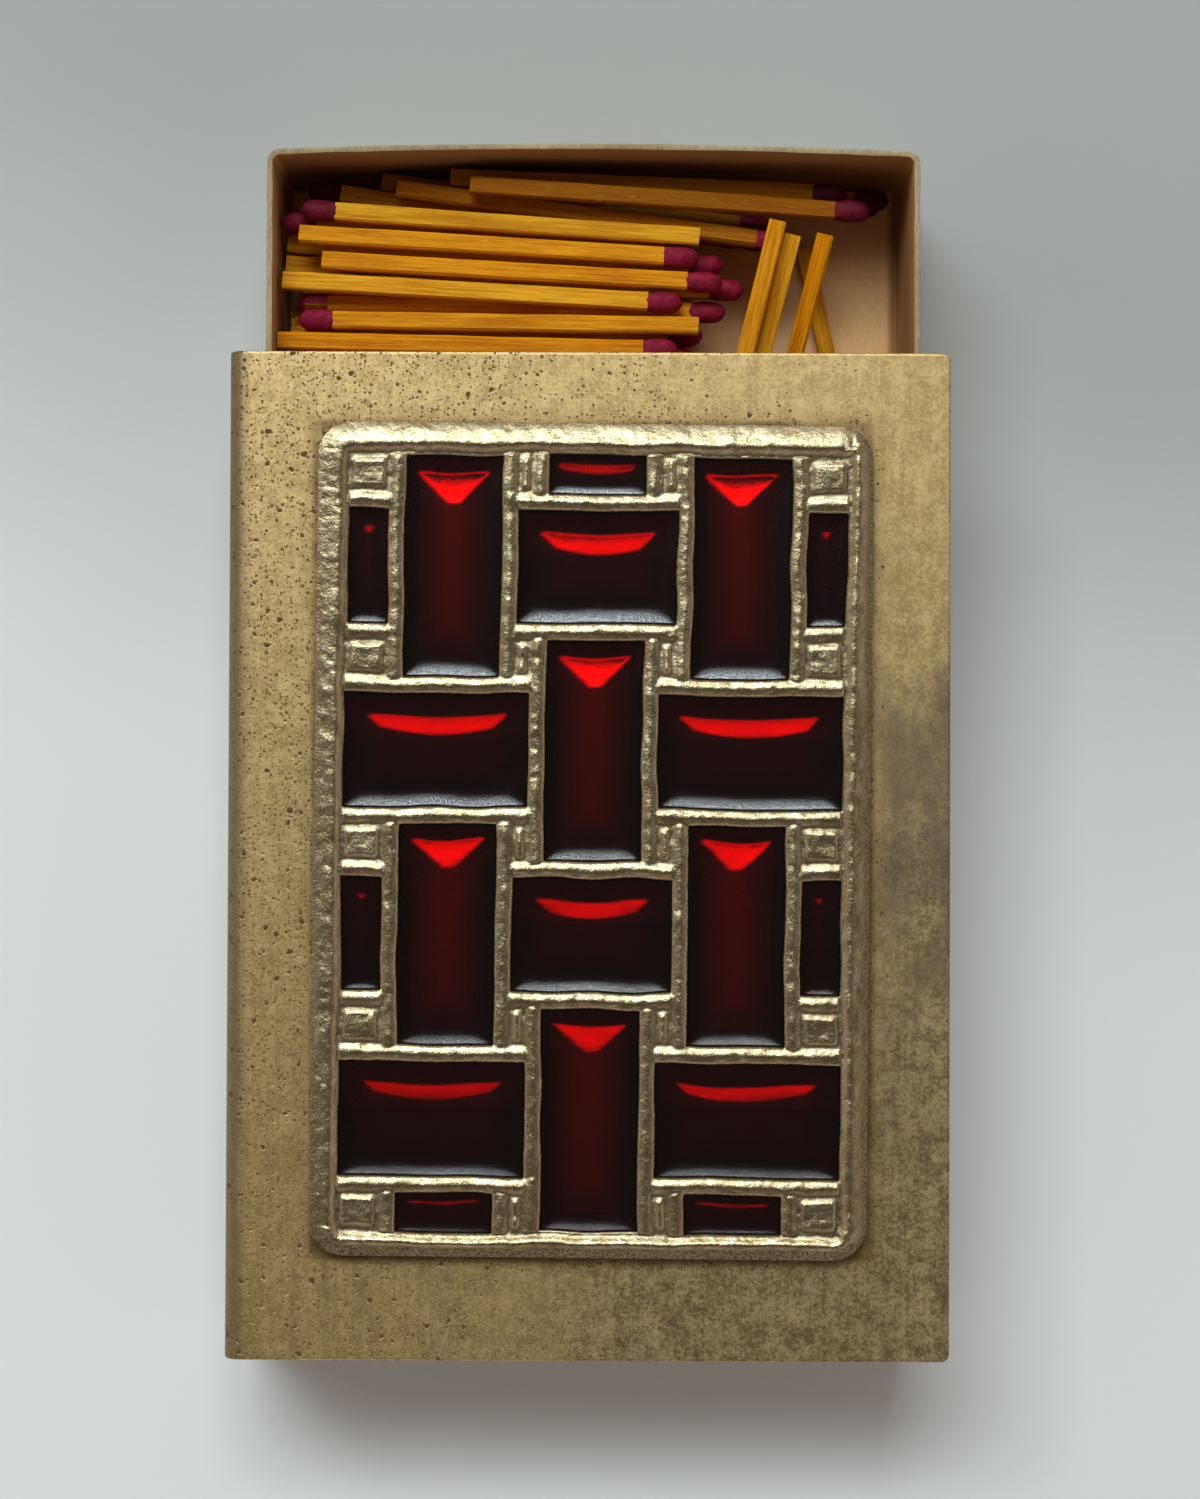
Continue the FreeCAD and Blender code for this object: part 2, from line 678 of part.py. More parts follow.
class LyingMatch:
    """One match in the tray: its middle, its turn, and the line of its axis above the tray's floor."""

    length, gap = number("match_length"), number("match_gap")
    head_length, head_width = number("head_length"), number("head_width")
    stick_width = number("stick_width")
    room_across, room_along = number("tray_inside_width"), number("tray_inside_length")
    half = length / 2
    sample = stick_width / 4

    def __init__(self, across_share, turn):
        self.turn = turn
        self.way = Vector(math.cos(math.radians(turn)), math.sin(math.radians(turn)))
        spare = self.room_across - 2 * self.reach(self.way.x, self.way.y)
        self.middle = Vector(spare * (across_share - 0.5), 0)
        self.level, self.slope = 0.0, 0.0

    def reach(self, lengthwise, sideways):
        """How far the match reaches from its middle, with its gap to a wall."""
        return self.half * abs(lengthwise) + self.head_width / 2 * abs(sideways) + self.gap

    def thickness(self, along):
        """Half the match's thickness at a distance from its middle: the head is thicker."""
        in_head = along > self.half - self.head_length - self.gap
        return (self.head_width if in_head else self.stick_width) / 2

    def samples(self):
        """Distances from the middle, from the tail to the tip of the head."""
        steps = round(self.length / self.sample)
        return [(step / steps - 0.5) * self.length for step in range(steps + 1)]

    def height(self, along):
        return self.level + self.slope * along

    def clamp(self, along):
        return max(-self.half, min(self.half, along))

    def side_at(self, x):
        """The axis and the near side of the match at a place across the tray, or None past its ends."""
        along = (x - self.middle.x) / self.way.x
        if abs(along) > self.half + self.gap:
            return None
        thick = max(self.thickness(along - self.sample), self.thickness(along + self.sample))
        return self.middle.y + along * self.way.y, thick / abs(self.way.x)

    def push_up(self, others, slack):
        """Push the match towards the far end until it meets the wall or another of its layer."""
        self.middle.y = 0.0
        limits = [self.room_along / 2 - self.reach(self.way.y, self.way.x)]
        for along in self.samples():
            x = self.middle.x + along * self.way.x
            own_axis, own_side = self.side_at(x)
            for other in others:
                met = other.side_at(x)
                if met is not None:
                    limits.append(met[0] - met[1] - own_side - self.gap - own_axis)
        self.middle.y = min(limits) - slack * self.stick_width

    def put_down(self, along_share):
        """Place the match along the tray by its share of the free room from the far end."""
        spare = self.room_along - 2 * self.reach(self.way.y, self.way.x)
        self.middle.y = spare * (0.5 - along_share)

    def top_over(self, point, margin):
        """The height of this match's top where another passes over it, or None where none does."""
        offset = point - self.middle
        along = offset.dot(self.way)
        aside = abs(offset.x * self.way.y - offset.y * self.way.x)
        ends = [self.clamp(along - margin), self.clamp(along + margin)]
        thick = max(self.thickness(end) for end in ends)
        if abs(along) > self.half + margin or aside > thick + margin:
            return None
        return max(self.height(end) for end in ends) + thick * math.hypot(1, self.slope)

    def settle(self, others):
        """Lower the match until it rests on the two supports that bracket its middle."""
        supports = []
        for along in self.samples():
            thick = self.thickness(along) + self.gap
            point = self.middle + self.way * along
            tops = [other.top_over(point, thick) for other in others]
            supports.append((along, max([0.0, *(top for top in tops if top is not None)]) + thick))
        self.level = 0.0
        for along_a, height_a in supports[: len(supports) // 2]:
            for along_b, height_b in supports[len(supports) // 2 :]:
                slope = (height_b - height_a) / (along_b - along_a)
                level = height_a - slope * along_a
                if level > self.level:
                    self.level, self.slope = level, slope

    def placement(self):
        """The match's middle in the part's frame, with its length along its own X."""
        floor = number("tray_bottom + tray_floor")
        spot = Vector(number("matchbox_middle"), number("tray_pull"), floor) + self.middle + UP * self.level
        tilt = Rotation(ALONG, -math.degrees(math.atan(self.slope)))
        return Placement(spot, Rotation(UP, self.turn).multiply(tilt))


def lay_layer(layer):
    """The matches of one layer, first those of its table and then its plain rows."""
    lying = []

    def add(across_share, turn, slack):
        match = LyingMatch(across_share, turn)
        match.push_up(lying, slack)
        match.level = (layer + 0.5) * (match.head_width + match.gap) + match.gap
        return match

    for place in LAYERS_SHARES[layer]:
        lying.append(add(*place))
    stop = LyingMatch.room_along * (0.5 - ROWS_STOP_SHARES[layer])
    while lying[-1].middle.y > stop:
        drift = (len(lying) * (layer + 1) * DRIFT_STEP_SHARE) % 1
        turn = ROWS_TURN[layer]
        if len(lying) % HEAD_LEFT_EVERY == 0:
            turn += HALF_TURN
        lying.append(add(DRIFT_REACH_SHARE * drift, turn, 0.0))
    return lying


def lay_lengthwise(below):
    """The matches that lie lengthwise, each settled on all that were laid before it."""
    lying = []
    for across_share, along_share, turn in LENGTHWISE_SHARES:
        match = LyingMatch(across_share, turn)
        match.put_down(along_share)
        match.settle(below + lying)
        lying.append(match)
    return lying


def make_head_form():
    """A dipped head as a block bevelled at its tip, its flat back at the end of the stick."""
    block = bind(
        doc.addObject("Part::Box", "head_block"),
        {"Length": "head_length", "Width": "head_width", "Height": "head_width"},
        at=("match_length / 2 - head_length", "-head_width / 2", "-head_width / 2"),
    )
    doc.recompute()
    bevelled = doc.addObject("Part::Chamfer", "head_form")
    bevelled.Base = block
    bevel = number("head_bevel")
    bevelled.Edges = [
        (place, bevel, bevel)
        for place, edge in enumerate(block.Shape.Edges, start=1)
        if near(edge.CenterOfMass.x, "match_length / 2")
    ]
    return bevelled


def make_matches(head_form):
    """Two nodes for each group of matches, its sticks and its heads."""
    layers = [lay_layer(layer) for layer in range(len(LAYERS_SHARES))]
    groups = {
        "lower_match": sum(layers[:2], []),
        "middle_match": sum(layers[2:4], []),
        "upper_match": sum(layers[4:], []),
        "lengthwise_match": lay_lengthwise(sum(layers, [])),
    }
    stick_spans = {"Length": "match_length - head_length", "Width": "stick_width", "Height": "stick_width"}
    nodes = []
    for group, lying in groups.items():
        sticks, heads = [], []
        for count, match in enumerate(lying, start=1):
            stick = bind(doc.addObject("Part::Box", f"{group}_stick_{count}"), stick_spans)
            corner = Vector(-match.half, -match.stick_width / 2, -match.stick_width / 2)
            stick.Placement = match.placement().multiply(Placement(corner, Rotation()))
            head = doc.addObject("Part::Feature", f"{group}_head_{count}")
            head.Shape = head_form.Shape
            head.Placement = match.placement()
            sticks.append(stick)
            heads.append(head)
        for suffix, pieces in (("sticks", sticks), ("heads", heads)):
            node = doc.addObject("Part::Compound", f"{group}_{suffix}")
            node.Links = pieces
            nodes.append(node)
    return nodes


nodes = [make_holder_shell(), *make_plaque(), make_sleeve()]
nodes.append(make_striker("open_side_striker", "sleeve_left + sleeve_width"))
nodes.append(make_striker("spine_side_striker", "sleeve_left - striker_thickness"))
nodes.append(make_tray())
head_form = make_head_form()
doc.recompute()
nodes.extend(make_matches(head_form))
doc.recompute()

for thing in doc.Objects:
    if "Invalid" in thing.State or "Error" in thing.State:
        raise RuntimeError(f"{thing.Name} failed: {thing.State}")

os.makedirs("parts", exist_ok=True)
for node in nodes:
    node.Label = node.Name
    if node.Shape.isNull() or not node.Shape.isValid():
        raise RuntimeError(f"{node.Label} has no valid shape")
    node.Shape.exportStep(f"parts/{node.Label}.step")
    print(node.Label, len(node.Shape.Solids), round(node.Shape.Volume, 2))
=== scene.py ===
import math

import bpy
import numpy as np
from mathutils import Matrix, Vector
from numpy.linalg import norm


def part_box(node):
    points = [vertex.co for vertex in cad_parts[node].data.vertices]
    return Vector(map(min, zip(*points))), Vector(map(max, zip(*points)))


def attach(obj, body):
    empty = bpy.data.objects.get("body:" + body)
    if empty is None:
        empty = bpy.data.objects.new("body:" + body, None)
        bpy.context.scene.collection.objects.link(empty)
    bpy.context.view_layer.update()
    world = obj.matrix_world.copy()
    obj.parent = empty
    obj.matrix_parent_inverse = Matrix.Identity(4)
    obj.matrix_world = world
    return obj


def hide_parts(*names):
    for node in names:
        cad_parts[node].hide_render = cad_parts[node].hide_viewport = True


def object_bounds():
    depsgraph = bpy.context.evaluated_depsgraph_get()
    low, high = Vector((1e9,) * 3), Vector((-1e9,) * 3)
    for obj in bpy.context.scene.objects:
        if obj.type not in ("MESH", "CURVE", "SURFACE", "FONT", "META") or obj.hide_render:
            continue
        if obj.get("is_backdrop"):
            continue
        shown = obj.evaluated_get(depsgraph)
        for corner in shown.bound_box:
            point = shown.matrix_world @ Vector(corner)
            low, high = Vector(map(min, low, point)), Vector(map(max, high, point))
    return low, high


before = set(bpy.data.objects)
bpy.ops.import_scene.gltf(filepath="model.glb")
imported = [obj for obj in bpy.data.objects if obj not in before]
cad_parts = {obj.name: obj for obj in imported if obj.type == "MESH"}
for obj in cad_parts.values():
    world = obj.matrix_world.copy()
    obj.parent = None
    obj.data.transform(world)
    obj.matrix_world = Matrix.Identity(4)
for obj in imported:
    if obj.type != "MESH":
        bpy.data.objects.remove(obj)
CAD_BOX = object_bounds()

# A matchbox holder of bent brass sheet with a cast, enamelled basket-weave plaque, seen from above.
# Sizes are in millimetres of the row frame and angles in degrees, unless a comment says otherwise.

MM = 0.001

# Plaque: what the CAD nodes' boxes don't tell

PLAQUE_SKEW = -0.4
PLAQUE_CORNER = 3.7
SLAB_HEIGHT = 1.8
RIM_WIDTH = 3.0
RIM_CREST = 1.95
RIM_EDGE_HEIGHT = 1.45
LEFT_EDGE_HEIGHT = 1.8
RIM_BULGE_SHARE = 0.3
# Painted shade darkens the rim's lower and right edges, which face away from the lamp; the upper edge is
# darkened a little too.
LOWER_EDGE_SHADE_SHARE = 1.6
RIGHT_EDGE_SHADE_SHARE = 0.5
UPPER_EDGE_DARKENING_SHARE = 0.4
RIM_STEPS = (0.0, 0.03, 0.1, 0.22, 0.4, 0.65, 0.95)
FOOT_LIFT = 0.02
RIB_GAP = 1.8
RIB_LEDGE = 0.02
RIB_RISE = 0.29
RIB_SOFTNESS_SHARE = 0.25
RIB_END_RUN = 0.35
PAD_GROOVE = 0.3
PAD_RISE = 0.3
PAD_TAPER = 0.26
PAD_ROWS_ASIDE = 2
CROSS_LENGTH = 12.0
SAME_SIZE = 0.2
WALL_RUN = 0.1
GRID_STEP = 0.27
WOBBLE = 0.17
WOBBLE_SIZE = 4.2
WOBBLE_FADE = 2.5
WEAVE_DROP = 0.4
WEAVE_LEAN = 0.36

# Cast roughness: width and height of each run of bumps

CAST_BUMPS = ((3.0, 0.05), (1.3, 0.045), (0.62, 0.04))
FLOOR_BUMPS = ((2.2, 0.010), (0.9, 0.004))
PIT_LIMIT_SHARE = 0.55
PIT_DEPTH = 0.1
PIT_WIDTH = 0.7

# Recesses, coppery and in painted shade: the heights are blurred over squares that reach these numbers of
# grid steps

HOLLOW_REACHES = (2, 4, 7)

# Cell floors: a low oval crown. Its hips fall back a little from the wall, then climb to the middle.
# Setbacks are from the walls above and below and from the walls beside. A pair of other sizes is for
# a cell at the plaque's lower end and for one at its upper end.

FULL_HALF = 5.1
FLOOR_BASE = 0.1
CROSS_SETBACKS = (1.35, 1.3)
UPRIGHT_SETBACKS = (0.75, 0.25)
HIP_START = (0.2, 0.42)
HIP_DIP = (0.8, 0.55)
CROSS_CLIMB = (1.8, 2.3)
UPRIGHT_CLIMB = (2.8, 3.3)
OVAL_SHARE = 0.75
BACK_SLOPE = 3.2
HIP_SLOPES = (13.2, 8.0)
GROIN_SOFTNESS = 0.35
# Painted highlight on the cell floors' colour, where the window reflects: its reach and fade from the top
# wall, a share down an upright cell's ridge, and a share for crosswise cells.
HIGHLIGHT_REACH = 5.2
HIGHLIGHT_FADE = 1.6
RIDGE_SHARE = 1.3
CROSS_HIGHLIGHT_SHARE = 0.78

# Enamel pools: concave, climbing the walls

POOL_EDGE = 1.43
POOL_SLOPE = 0.30
POOL_RUN = 1.9
POOL_RUN_SHARE = 0.5
POOL_MARGIN = 0.12
POOL_STEP = 0.33
POOL_FOOT = 0.01
POOL_BUMPS = ((1.8, 0.006), (0.7, 0.0015))
POOL_ROUNDNESS = 3.0


# Meshes

LATTICE_COUNT = 400
MARK_DECIMALS = 4
PLACE_DECIMALS = 1


def lattice(u, v, size, seed):
    """Smooth noise between -1 and 1 over a plane, with bumps about as wide as the size."""
    table = np.random.default_rng(seed).uniform(-1, 1, (LATTICE_COUNT, LATTICE_COUNT))
    across, along = u / size, v / size
    i, j = np.floor(across).astype(int), np.floor(along).astype(int)
    s, t = smooth(across - i), smooth(along - j)
    i, j, after_i, after_j = (place % LATTICE_COUNT for place in (i, j, i + 1, j + 1))
    near = table[i, j] * (1 - s) + table[after_i, j] * s
    far = table[i, after_j] * (1 - s) + table[after_i, after_j] * s
    return near * (1 - t) + far * t


def smooth(share):
    """An S-curve from 0 to 1."""
    share = np.clip(share, 0, 1)
    return share * share * (3 - 2 * share)


def bumps(u, v, runs, seed):
    """The sum of several runs of noise, each with a width and a height."""
    return sum(height * lattice(u, v, size, seed + place) for place, (size, height) in enumerate(runs))


def placed(name, data):
    """A new object in the scene."""
    thing = bpy.data.objects.new(name, data)
    bpy.context.scene.collection.objects.link(thing)
    return thing


def piece(name, points, faces, body, slot, nodes, looks, marks=()):
    """A smooth mesh in millimetres of the row frame that stands for CAD nodes and rides on a body."""
    mesh = bpy.data.meshes.new(name)
    mesh.from_pydata((np.asarray(points) * MM).tolist(), [], faces)
    mesh.shade_smooth()
    for look in looks:
        mesh.materials.append(look)
    if len(marks):
        mesh.polygons.foreach_set("material_index", np.asarray(marks, dtype=np.int32))
    mesh.update()
    thing = placed(name, mesh)
    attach(thing, body)
    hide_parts(*nodes)
    return thing


def add_values(thing, name, values):
    """Store one number, or one triple, for each point of a mesh."""
    values = np.asarray(values, dtype=float)
    kind, field = ("FLOAT", "value") if values.ndim == 1 else ("FLOAT_VECTOR", "vector")
    attribute = thing.data.attributes.new(name, kind, "POINT")
    attribute.data.foreach_set(field, values.ravel())


def relief(points, shape, foot):
    """Points and faces of a grid of points with a skirt down to a foot and a flat base."""
    index = np.arange(len(points)).reshape(shape)
    quads = np.stack([index[:-1, :-1], index[1:, :-1], index[1:, 1:], index[:-1, 1:]], axis=-1)
    loop = np.concatenate([index[:-1, 0], index[-1, :-1], index[:0:-1, -1], index[0, :0:-1]])
    below = index.size + np.arange(len(loop))
    walls = np.stack([np.roll(loop, -1), loop, below, np.roll(below, -1)], axis=-1)
    faces = [*quads.reshape(-1, 4).tolist(), *walls.tolist(), below[::-1].tolist()]
    skirt = points[loop]
    skirt[:, 2] = foot
    return np.concatenate([points, skirt]), faces


def grid_lines(marks, step):
    """Sorted places that hold every mark, with even steps between them no wider than the step."""
    marks = np.unique(np.round(marks, MARK_DECIMALS))
    lines = [marks[0]]
    for low, high in zip(marks, marks[1:]):
        count = max(1, math.ceil((high - low) / step))
        lines.extend(low + (high - low) * (place + 1) / count for place in range(count))
    return np.array(lines)


# Places of the plaque and its cells, from the CAD nodes

SKEW_COS, SKEW_SIN = math.cos(math.radians(PLAQUE_SKEW)), math.sin(math.radians(PLAQUE_SKEW))


def unskewed(node, corner=0.0):
    """A node's middle, its sizes along the plaque's own axes, and its lowest and highest points."""
    low, high = (np.array(point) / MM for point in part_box(node))
    across, along = (high - low)[:2] - 2 * corner
    turn = abs(SKEW_SIN)
    scale = SKEW_COS**2 - turn**2
    width = (across * SKEW_COS - along * turn) / scale + 2 * corner
    length = (along * SKEW_COS - across * turn) / scale + 2 * corner
    return (low + high)[:2] / 2, width, length, low[2], high[2]


PLAQUE_MIDDLE, PLAQUE_WIDTH, PLAQUE_LENGTH, PLAQUE_FOOT, PLAQUE_TOP = unskewed(
    "weave_plaque", PLAQUE_CORNER
)
WINDOW_HALF = np.array([PLAQUE_WIDTH / 2 - RIM_WIDTH, PLAQUE_LENGTH / 2 - RIM_WIDTH])


def seat(u, v, z):
    """Points of the plaque's own frame in the row frame."""
    x = PLAQUE_MIDDLE[0] + u * SKEW_COS - v * SKEW_SIN
    y = PLAQUE_MIDDLE[1] + u * SKEW_SIN + v * SKEW_COS
    return np.stack([np.ravel(x), np.ravel(y), np.ravel(PLAQUE_FOOT + z)], axis=-1)


class Cell:
    """One enamelled cell: its middle and half sizes in the plaque's frame, and if it runs crosswise."""

    def __init__(self, node):
        middle, width, length, _, _ = unskewed(node)
        offset = middle - PLAQUE_MIDDLE
        self.node = node
        self.u = offset[0] * SKEW_COS + offset[1] * SKEW_SIN
        self.v = offset[1] * SKEW_COS - offset[0] * SKEW_SIN
        self.half_u, self.half_v = width / 2, length / 2
        self.crosswise = abs(length - CROSS_LENGTH) < SAME_SIZE
        self.narrow = min(self.half_u, self.half_v)

    def depth(self, u, v):
        """How far points lie inside the walls beside them and the walls above and below them."""
        return self.half_u - np.abs(u - self.u), self.half_v - np.abs(v - self.v)

    def ribs(self):
        """Middles and half lengths of the two ribs on the cell's long sides."""
        for side in (-1, 1):
            if self.crosswise:
                yield self.u, self.v + side * (self.half_v + RIB_GAP / 2), self.half_u
            else:
                yield self.u + side * (self.half_u + RIB_GAP / 2), self.v, self.half_v


CELLS = [Cell(node) for node in sorted(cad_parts) if node.startswith("enamel_cell")]
CROSS_CELLS = [cell for cell in CELLS if cell.crosswise]
UPRIGHT_CELLS = [cell for cell in CELLS if not cell.crosswise]


# Plaque as a relief of heights over its own plane


def crown(cell, u, v):
    """Height of a cell's floor over its base: back a little from the wall, then up the hip to the crown."""
    lying = cell.half_u > cell.half_v
    size = min(1, cell.narrow / FULL_HALF) if lying else 1
    setbacks = CROSS_SETBACKS if lying else UPRIGHT_SETBACKS
    depth_u, depth_v = (depth / size for depth in cell.depth(u, v))
    depth_u, depth_v = depth_u - setbacks[1], depth_v - setbacks[0]
    depth = (depth_u + depth_v - np.hypot(depth_u - depth_v, GROIN_SOFTNESS)) / 2
    ends = (-WINDOW_HALF[1], WINDOW_HALF[1])
    aside = ((u - cell.u) / cell.half_u) ** 2
    start = np.interp(cell.v, ends, HIP_START) + np.interp(cell.v, ends, HIP_DIP) * (1 - aside)
    climb = np.interp(cell.v, ends, CROSS_CLIMB if lying else UPRIGHT_CLIMB)
    reach = climb * (1 - OVAL_SHARE * aside)
    back, steep, gentle = (math.tan(math.radians(slope)) for slope in (BACK_SLOPE, *HIP_SLOPES))
    up = np.clip(depth - start, 0, np.maximum(reach, 0))
    rise = up * (steep - (steep - gentle) * up / climb / 2)
    return size * (rise - back * np.clip(depth, -setbacks[0], start))


def painted_highlight(cell, u, v):
    """Painted highlight on a cell's floor: how much its colour is brightened along its hip, where the
    window reflects, and down the ridge of an upright cell.
    """
    from_top = cell.v + cell.half_v - v
    hip = smooth((HIGHLIGHT_REACH - from_top) / HIGHLIGHT_FADE)
    if cell.half_u > cell.half_v:
        return CROSS_HIGHLIGHT_SHARE * hip
    ridge = 1 - ((u - cell.u) / cell.half_u) ** 2
    return np.maximum(hip, ridge * np.clip(RIDGE_SHARE - from_top / cell.half_v / 2, 0, 1))


def wobbled(u, v):
    """Places drawn aside a little, as a hand-cut die leaves them, but not at the rim's outer edge."""
    inset = np.minimum(PLAQUE_WIDTH / 2 - np.abs(u), PLAQUE_LENGTH / 2 - np.abs(v))
    fade = smooth(inset / WOBBLE_FADE)
    lean = WEAVE_LEAN * smooth(v / WINDOW_HALF[1])
    moved_u = u + fade * (WOBBLE * lattice(u, v, WOBBLE_SIZE, seed=31) + lean)
    moved_v = v + fade * (WOBBLE * lattice(u, v, WOBBLE_SIZE, seed=37) - WEAVE_DROP)
    return moved_u, moved_v


def rib_relief(u, v):
    """The ribs on the cells' long sides: low roofs with a soft ridge."""
    half_width = RIB_GAP / 2 - RIB_LEDGE
    soft = RIB_SOFTNESS_SHARE
    raised = np.zeros_like(u)
    for cell in CELLS:
        for middle_u, middle_v, half_length in cell.ribs():
            aside, along = (v - middle_v, u - middle_u) if cell.crosswise else (u - middle_u, v - middle_v)
            fall = (np.hypot(aside / half_width, soft) - soft) / (math.hypot(1, soft) - soft)
            round_top = np.clip(1 - fall, 0, 1)
            ends = smooth((half_length + RIB_END_RUN - np.abs(along)) / RIB_END_RUN)
            raised = np.maximum(raised, RIB_RISE * round_top * ends)
    return raised


def pad_relief(u, v):
    """Low pads in the gaps that the ribs leave."""
    half_upright = max(cell.half_u for cell in UPRIGHT_CELLS)
    columns = sorted({round(cell.u, PLACE_DECIMALS) for cell in UPRIGHT_CELLS})
    pitch_across = (columns[-1] - columns[0]) / (len(columns) - 1)
    rows = sorted({round(cell.v, PLACE_DECIMALS) for cell in CROSS_CELLS})
    pitch_along = (rows[-1] - rows[0]) / (len(rows) - 1)
    half_gap = pitch_across / 2 - half_upright - RIB_GAP
    border = columns[-1] + half_upright + RIB_GAP
    half_border = (WINDOW_HALF[0] - border) / 2
    half_length = pitch_along / 2 - CROSS_LENGTH / 2 - RIB_GAP
    middles = [(side * pitch_across / 2, half_gap) for side in (-1, 1)]
    middles += [(side * (border + half_border), half_border) for side in (-1, 1)]
    raised = np.zeros_like(u)
    for row in range(-PAD_ROWS_ASIDE, PAD_ROWS_ASIDE + 1):
        for middle, half in middles:
            inside = np.minimum(
                half - PAD_GROOVE - np.abs(u - middle),
                half_length - PAD_GROOVE - np.abs(v - row * pitch_along),
            )
            raised = np.maximum(raised, PAD_RISE * smooth(inside / PAD_TAPER))
    return raised


def rim_relief(u, inset):
    """The rim over the slab: a broad bevel up from its outer edge to a crest, then down to the slab."""
    top = PLAQUE_TOP - PLAQUE_FOOT - SLAB_HEIGHT
    beside_left = smooth(1 - (PLAQUE_WIDTH / 2 + u - inset) / RIM_WIDTH)
    edge = RIM_EDGE_HEIGHT - SLAB_HEIGHT + (LEFT_EDGE_HEIGHT - RIM_EDGE_HEIGHT) * beside_left
    up = np.clip(inset / RIM_CREST, 0, 1)
    down = np.clip((inset - RIM_CREST) / (RIM_WIDTH - RIM_CREST), 0, 1)
    bevel = edge + (top - edge) * up * (1 + RIM_BULGE_SHARE * (1 - up))
    return np.where(inset < RIM_CREST, np.minimum(bevel, top), top * (1 - smooth(down)))


def make_plaque(metal, floor_metal):
    """The casting: slab, rim, ribs, pads and crowned cell floors, with cast bumps and worn edges."""
    edges_u, edges_v = [], []
    for cell in CELLS:
        for shift in (-WALL_RUN / 2, WALL_RUN / 2):
            edges_u += [cell.u - cell.half_u + shift, cell.u + cell.half_u + shift]
            edges_v += [cell.v - cell.half_v + shift, cell.v + cell.half_v + shift]
    half_u, half_v = PLAQUE_WIDTH / 2, PLAQUE_LENGTH / 2
    rim = np.array(RIM_STEPS)
    lines_u = grid_lines(np.concatenate([edges_u, rim - half_u, half_u - rim]), GRID_STEP)
    lines_v = grid_lines(np.concatenate([edges_v, rim - half_v, half_v - rim]), GRID_STEP)
    u, v = np.meshgrid(lines_u, lines_v, indexing="ij")
    inset = np.minimum(half_u - np.abs(u), half_v - np.abs(v))

    in_window = inset > RIM_WIDTH
    raised = np.maximum(rib_relief(u, v), pad_relief(u, v)) * in_window
    height = SLAB_HEIGHT + np.where(in_window, raised, rim_relief(u, inset))
    cast = bumps(u, v, CAST_BUMPS, seed=11)
    pits = smooth((lattice(u, v, PIT_WIDTH, seed=19) - PIT_LIMIT_SHARE) / (1 - PIT_LIMIT_SHARE))
    height += (cast - PIT_DEPTH * pits) * smooth(inset / RIM_STEPS[-1])
    height = np.minimum(height, PLAQUE_TOP - PLAQUE_FOOT)
    in_cell = np.zeros(u.shape, dtype=bool)
    bright = np.zeros_like(height)
    for cell in CELLS:
        inside = np.minimum(*cell.depth(u, v)) > 0
        floor = FLOOR_BASE + crown(cell, u, v) + bumps(u, v, FLOOR_BUMPS, seed=23)
        height = np.where(inside, np.maximum(floor, FOOT_LIFT), height)
        # Painted highlight: the floor's colour brightened where the window reflects.
        bright = np.where(inside, painted_highlight(cell, u, v), bright)
        in_cell |= inside
    height[inset <= 0] = FOOT_LIFT

    # Coppery patina and painted shade in the recesses, then painted shade along the lower and right edges
    # and a darker upper edge.
    patina_and_shade = np.zeros_like(height)
    for reach in HOLLOW_REACHES:
        patina_and_shade += blurred(np.where(in_cell, SLAB_HEIGHT, height), reach) - height
    patina_and_shade *= smooth((inset - RIM_CREST) / (RIM_WIDTH - RIM_CREST))
    edge_darkenings = (
        (half_v + v, LOWER_EDGE_SHADE_SHARE),
        (half_u - u, RIGHT_EDGE_SHADE_SHARE),
        (half_v - v, UPPER_EDGE_DARKENING_SHARE),
    )
    for distance, darkening in edge_darkenings:
        patina_and_shade += darkening * smooth(1 - distance / RIM_CREST)
    moved_u, moved_v = round_corners(*wobbled(u, v), half_u, half_v)
    points, faces = relief(seat(moved_u, moved_v, height), height.shape, PLAQUE_FOOT)
    cell_face = in_cell[:-1, :-1] & in_cell[1:, :-1] & in_cell[1:, 1:] & in_cell[:-1, 1:]
    marks = np.zeros(len(faces), dtype=int)
    marks[: cell_face.size] = cell_face.ravel()
    nodes, looks = ["weave_plaque"], [metal, floor_metal]
    plaque = piece("cast_weave_plaque", points, faces, "holder", "cast_plaque", nodes, looks, marks)
    below = np.zeros(len(points) - height.size)
    for name, values in (("patina_and_shade", patina_and_shade), ("painted_highlight", bright)):
        add_values(plaque, name, np.concatenate([values.ravel(), below]))


def blurred(values, reach):
    """Each value's average over a square of neighbours."""
    for axis in (0, 1):
        total = np.zeros_like(values)
        for shift in range(-reach, reach + 1):
            total += np.roll(values, shift, axis=axis)
        values = total / (2 * reach + 1)
    return values


def round_corners(u, v, half_u, half_v):
    """Draw the square corners of the grid in to round ones."""
    across = np.abs(u) - (half_u - PLAQUE_CORNER)
    along = np.abs(v) - (half_v - PLAQUE_CORNER)
    corner = (across > 0) & (along > 0)
    span = np.hypot(across, along)
    scale = np.where(corner, np.maximum(across, along) / np.where(corner, span, 1), 1)
    round_u = np.sign(u) * (half_u - PLAQUE_CORNER + across * scale)
    round_v = np.sign(v) * (half_v - PLAQUE_CORNER + along * scale)
    return np.where(corner, round_u, u), np.where(corner, round_v, v)


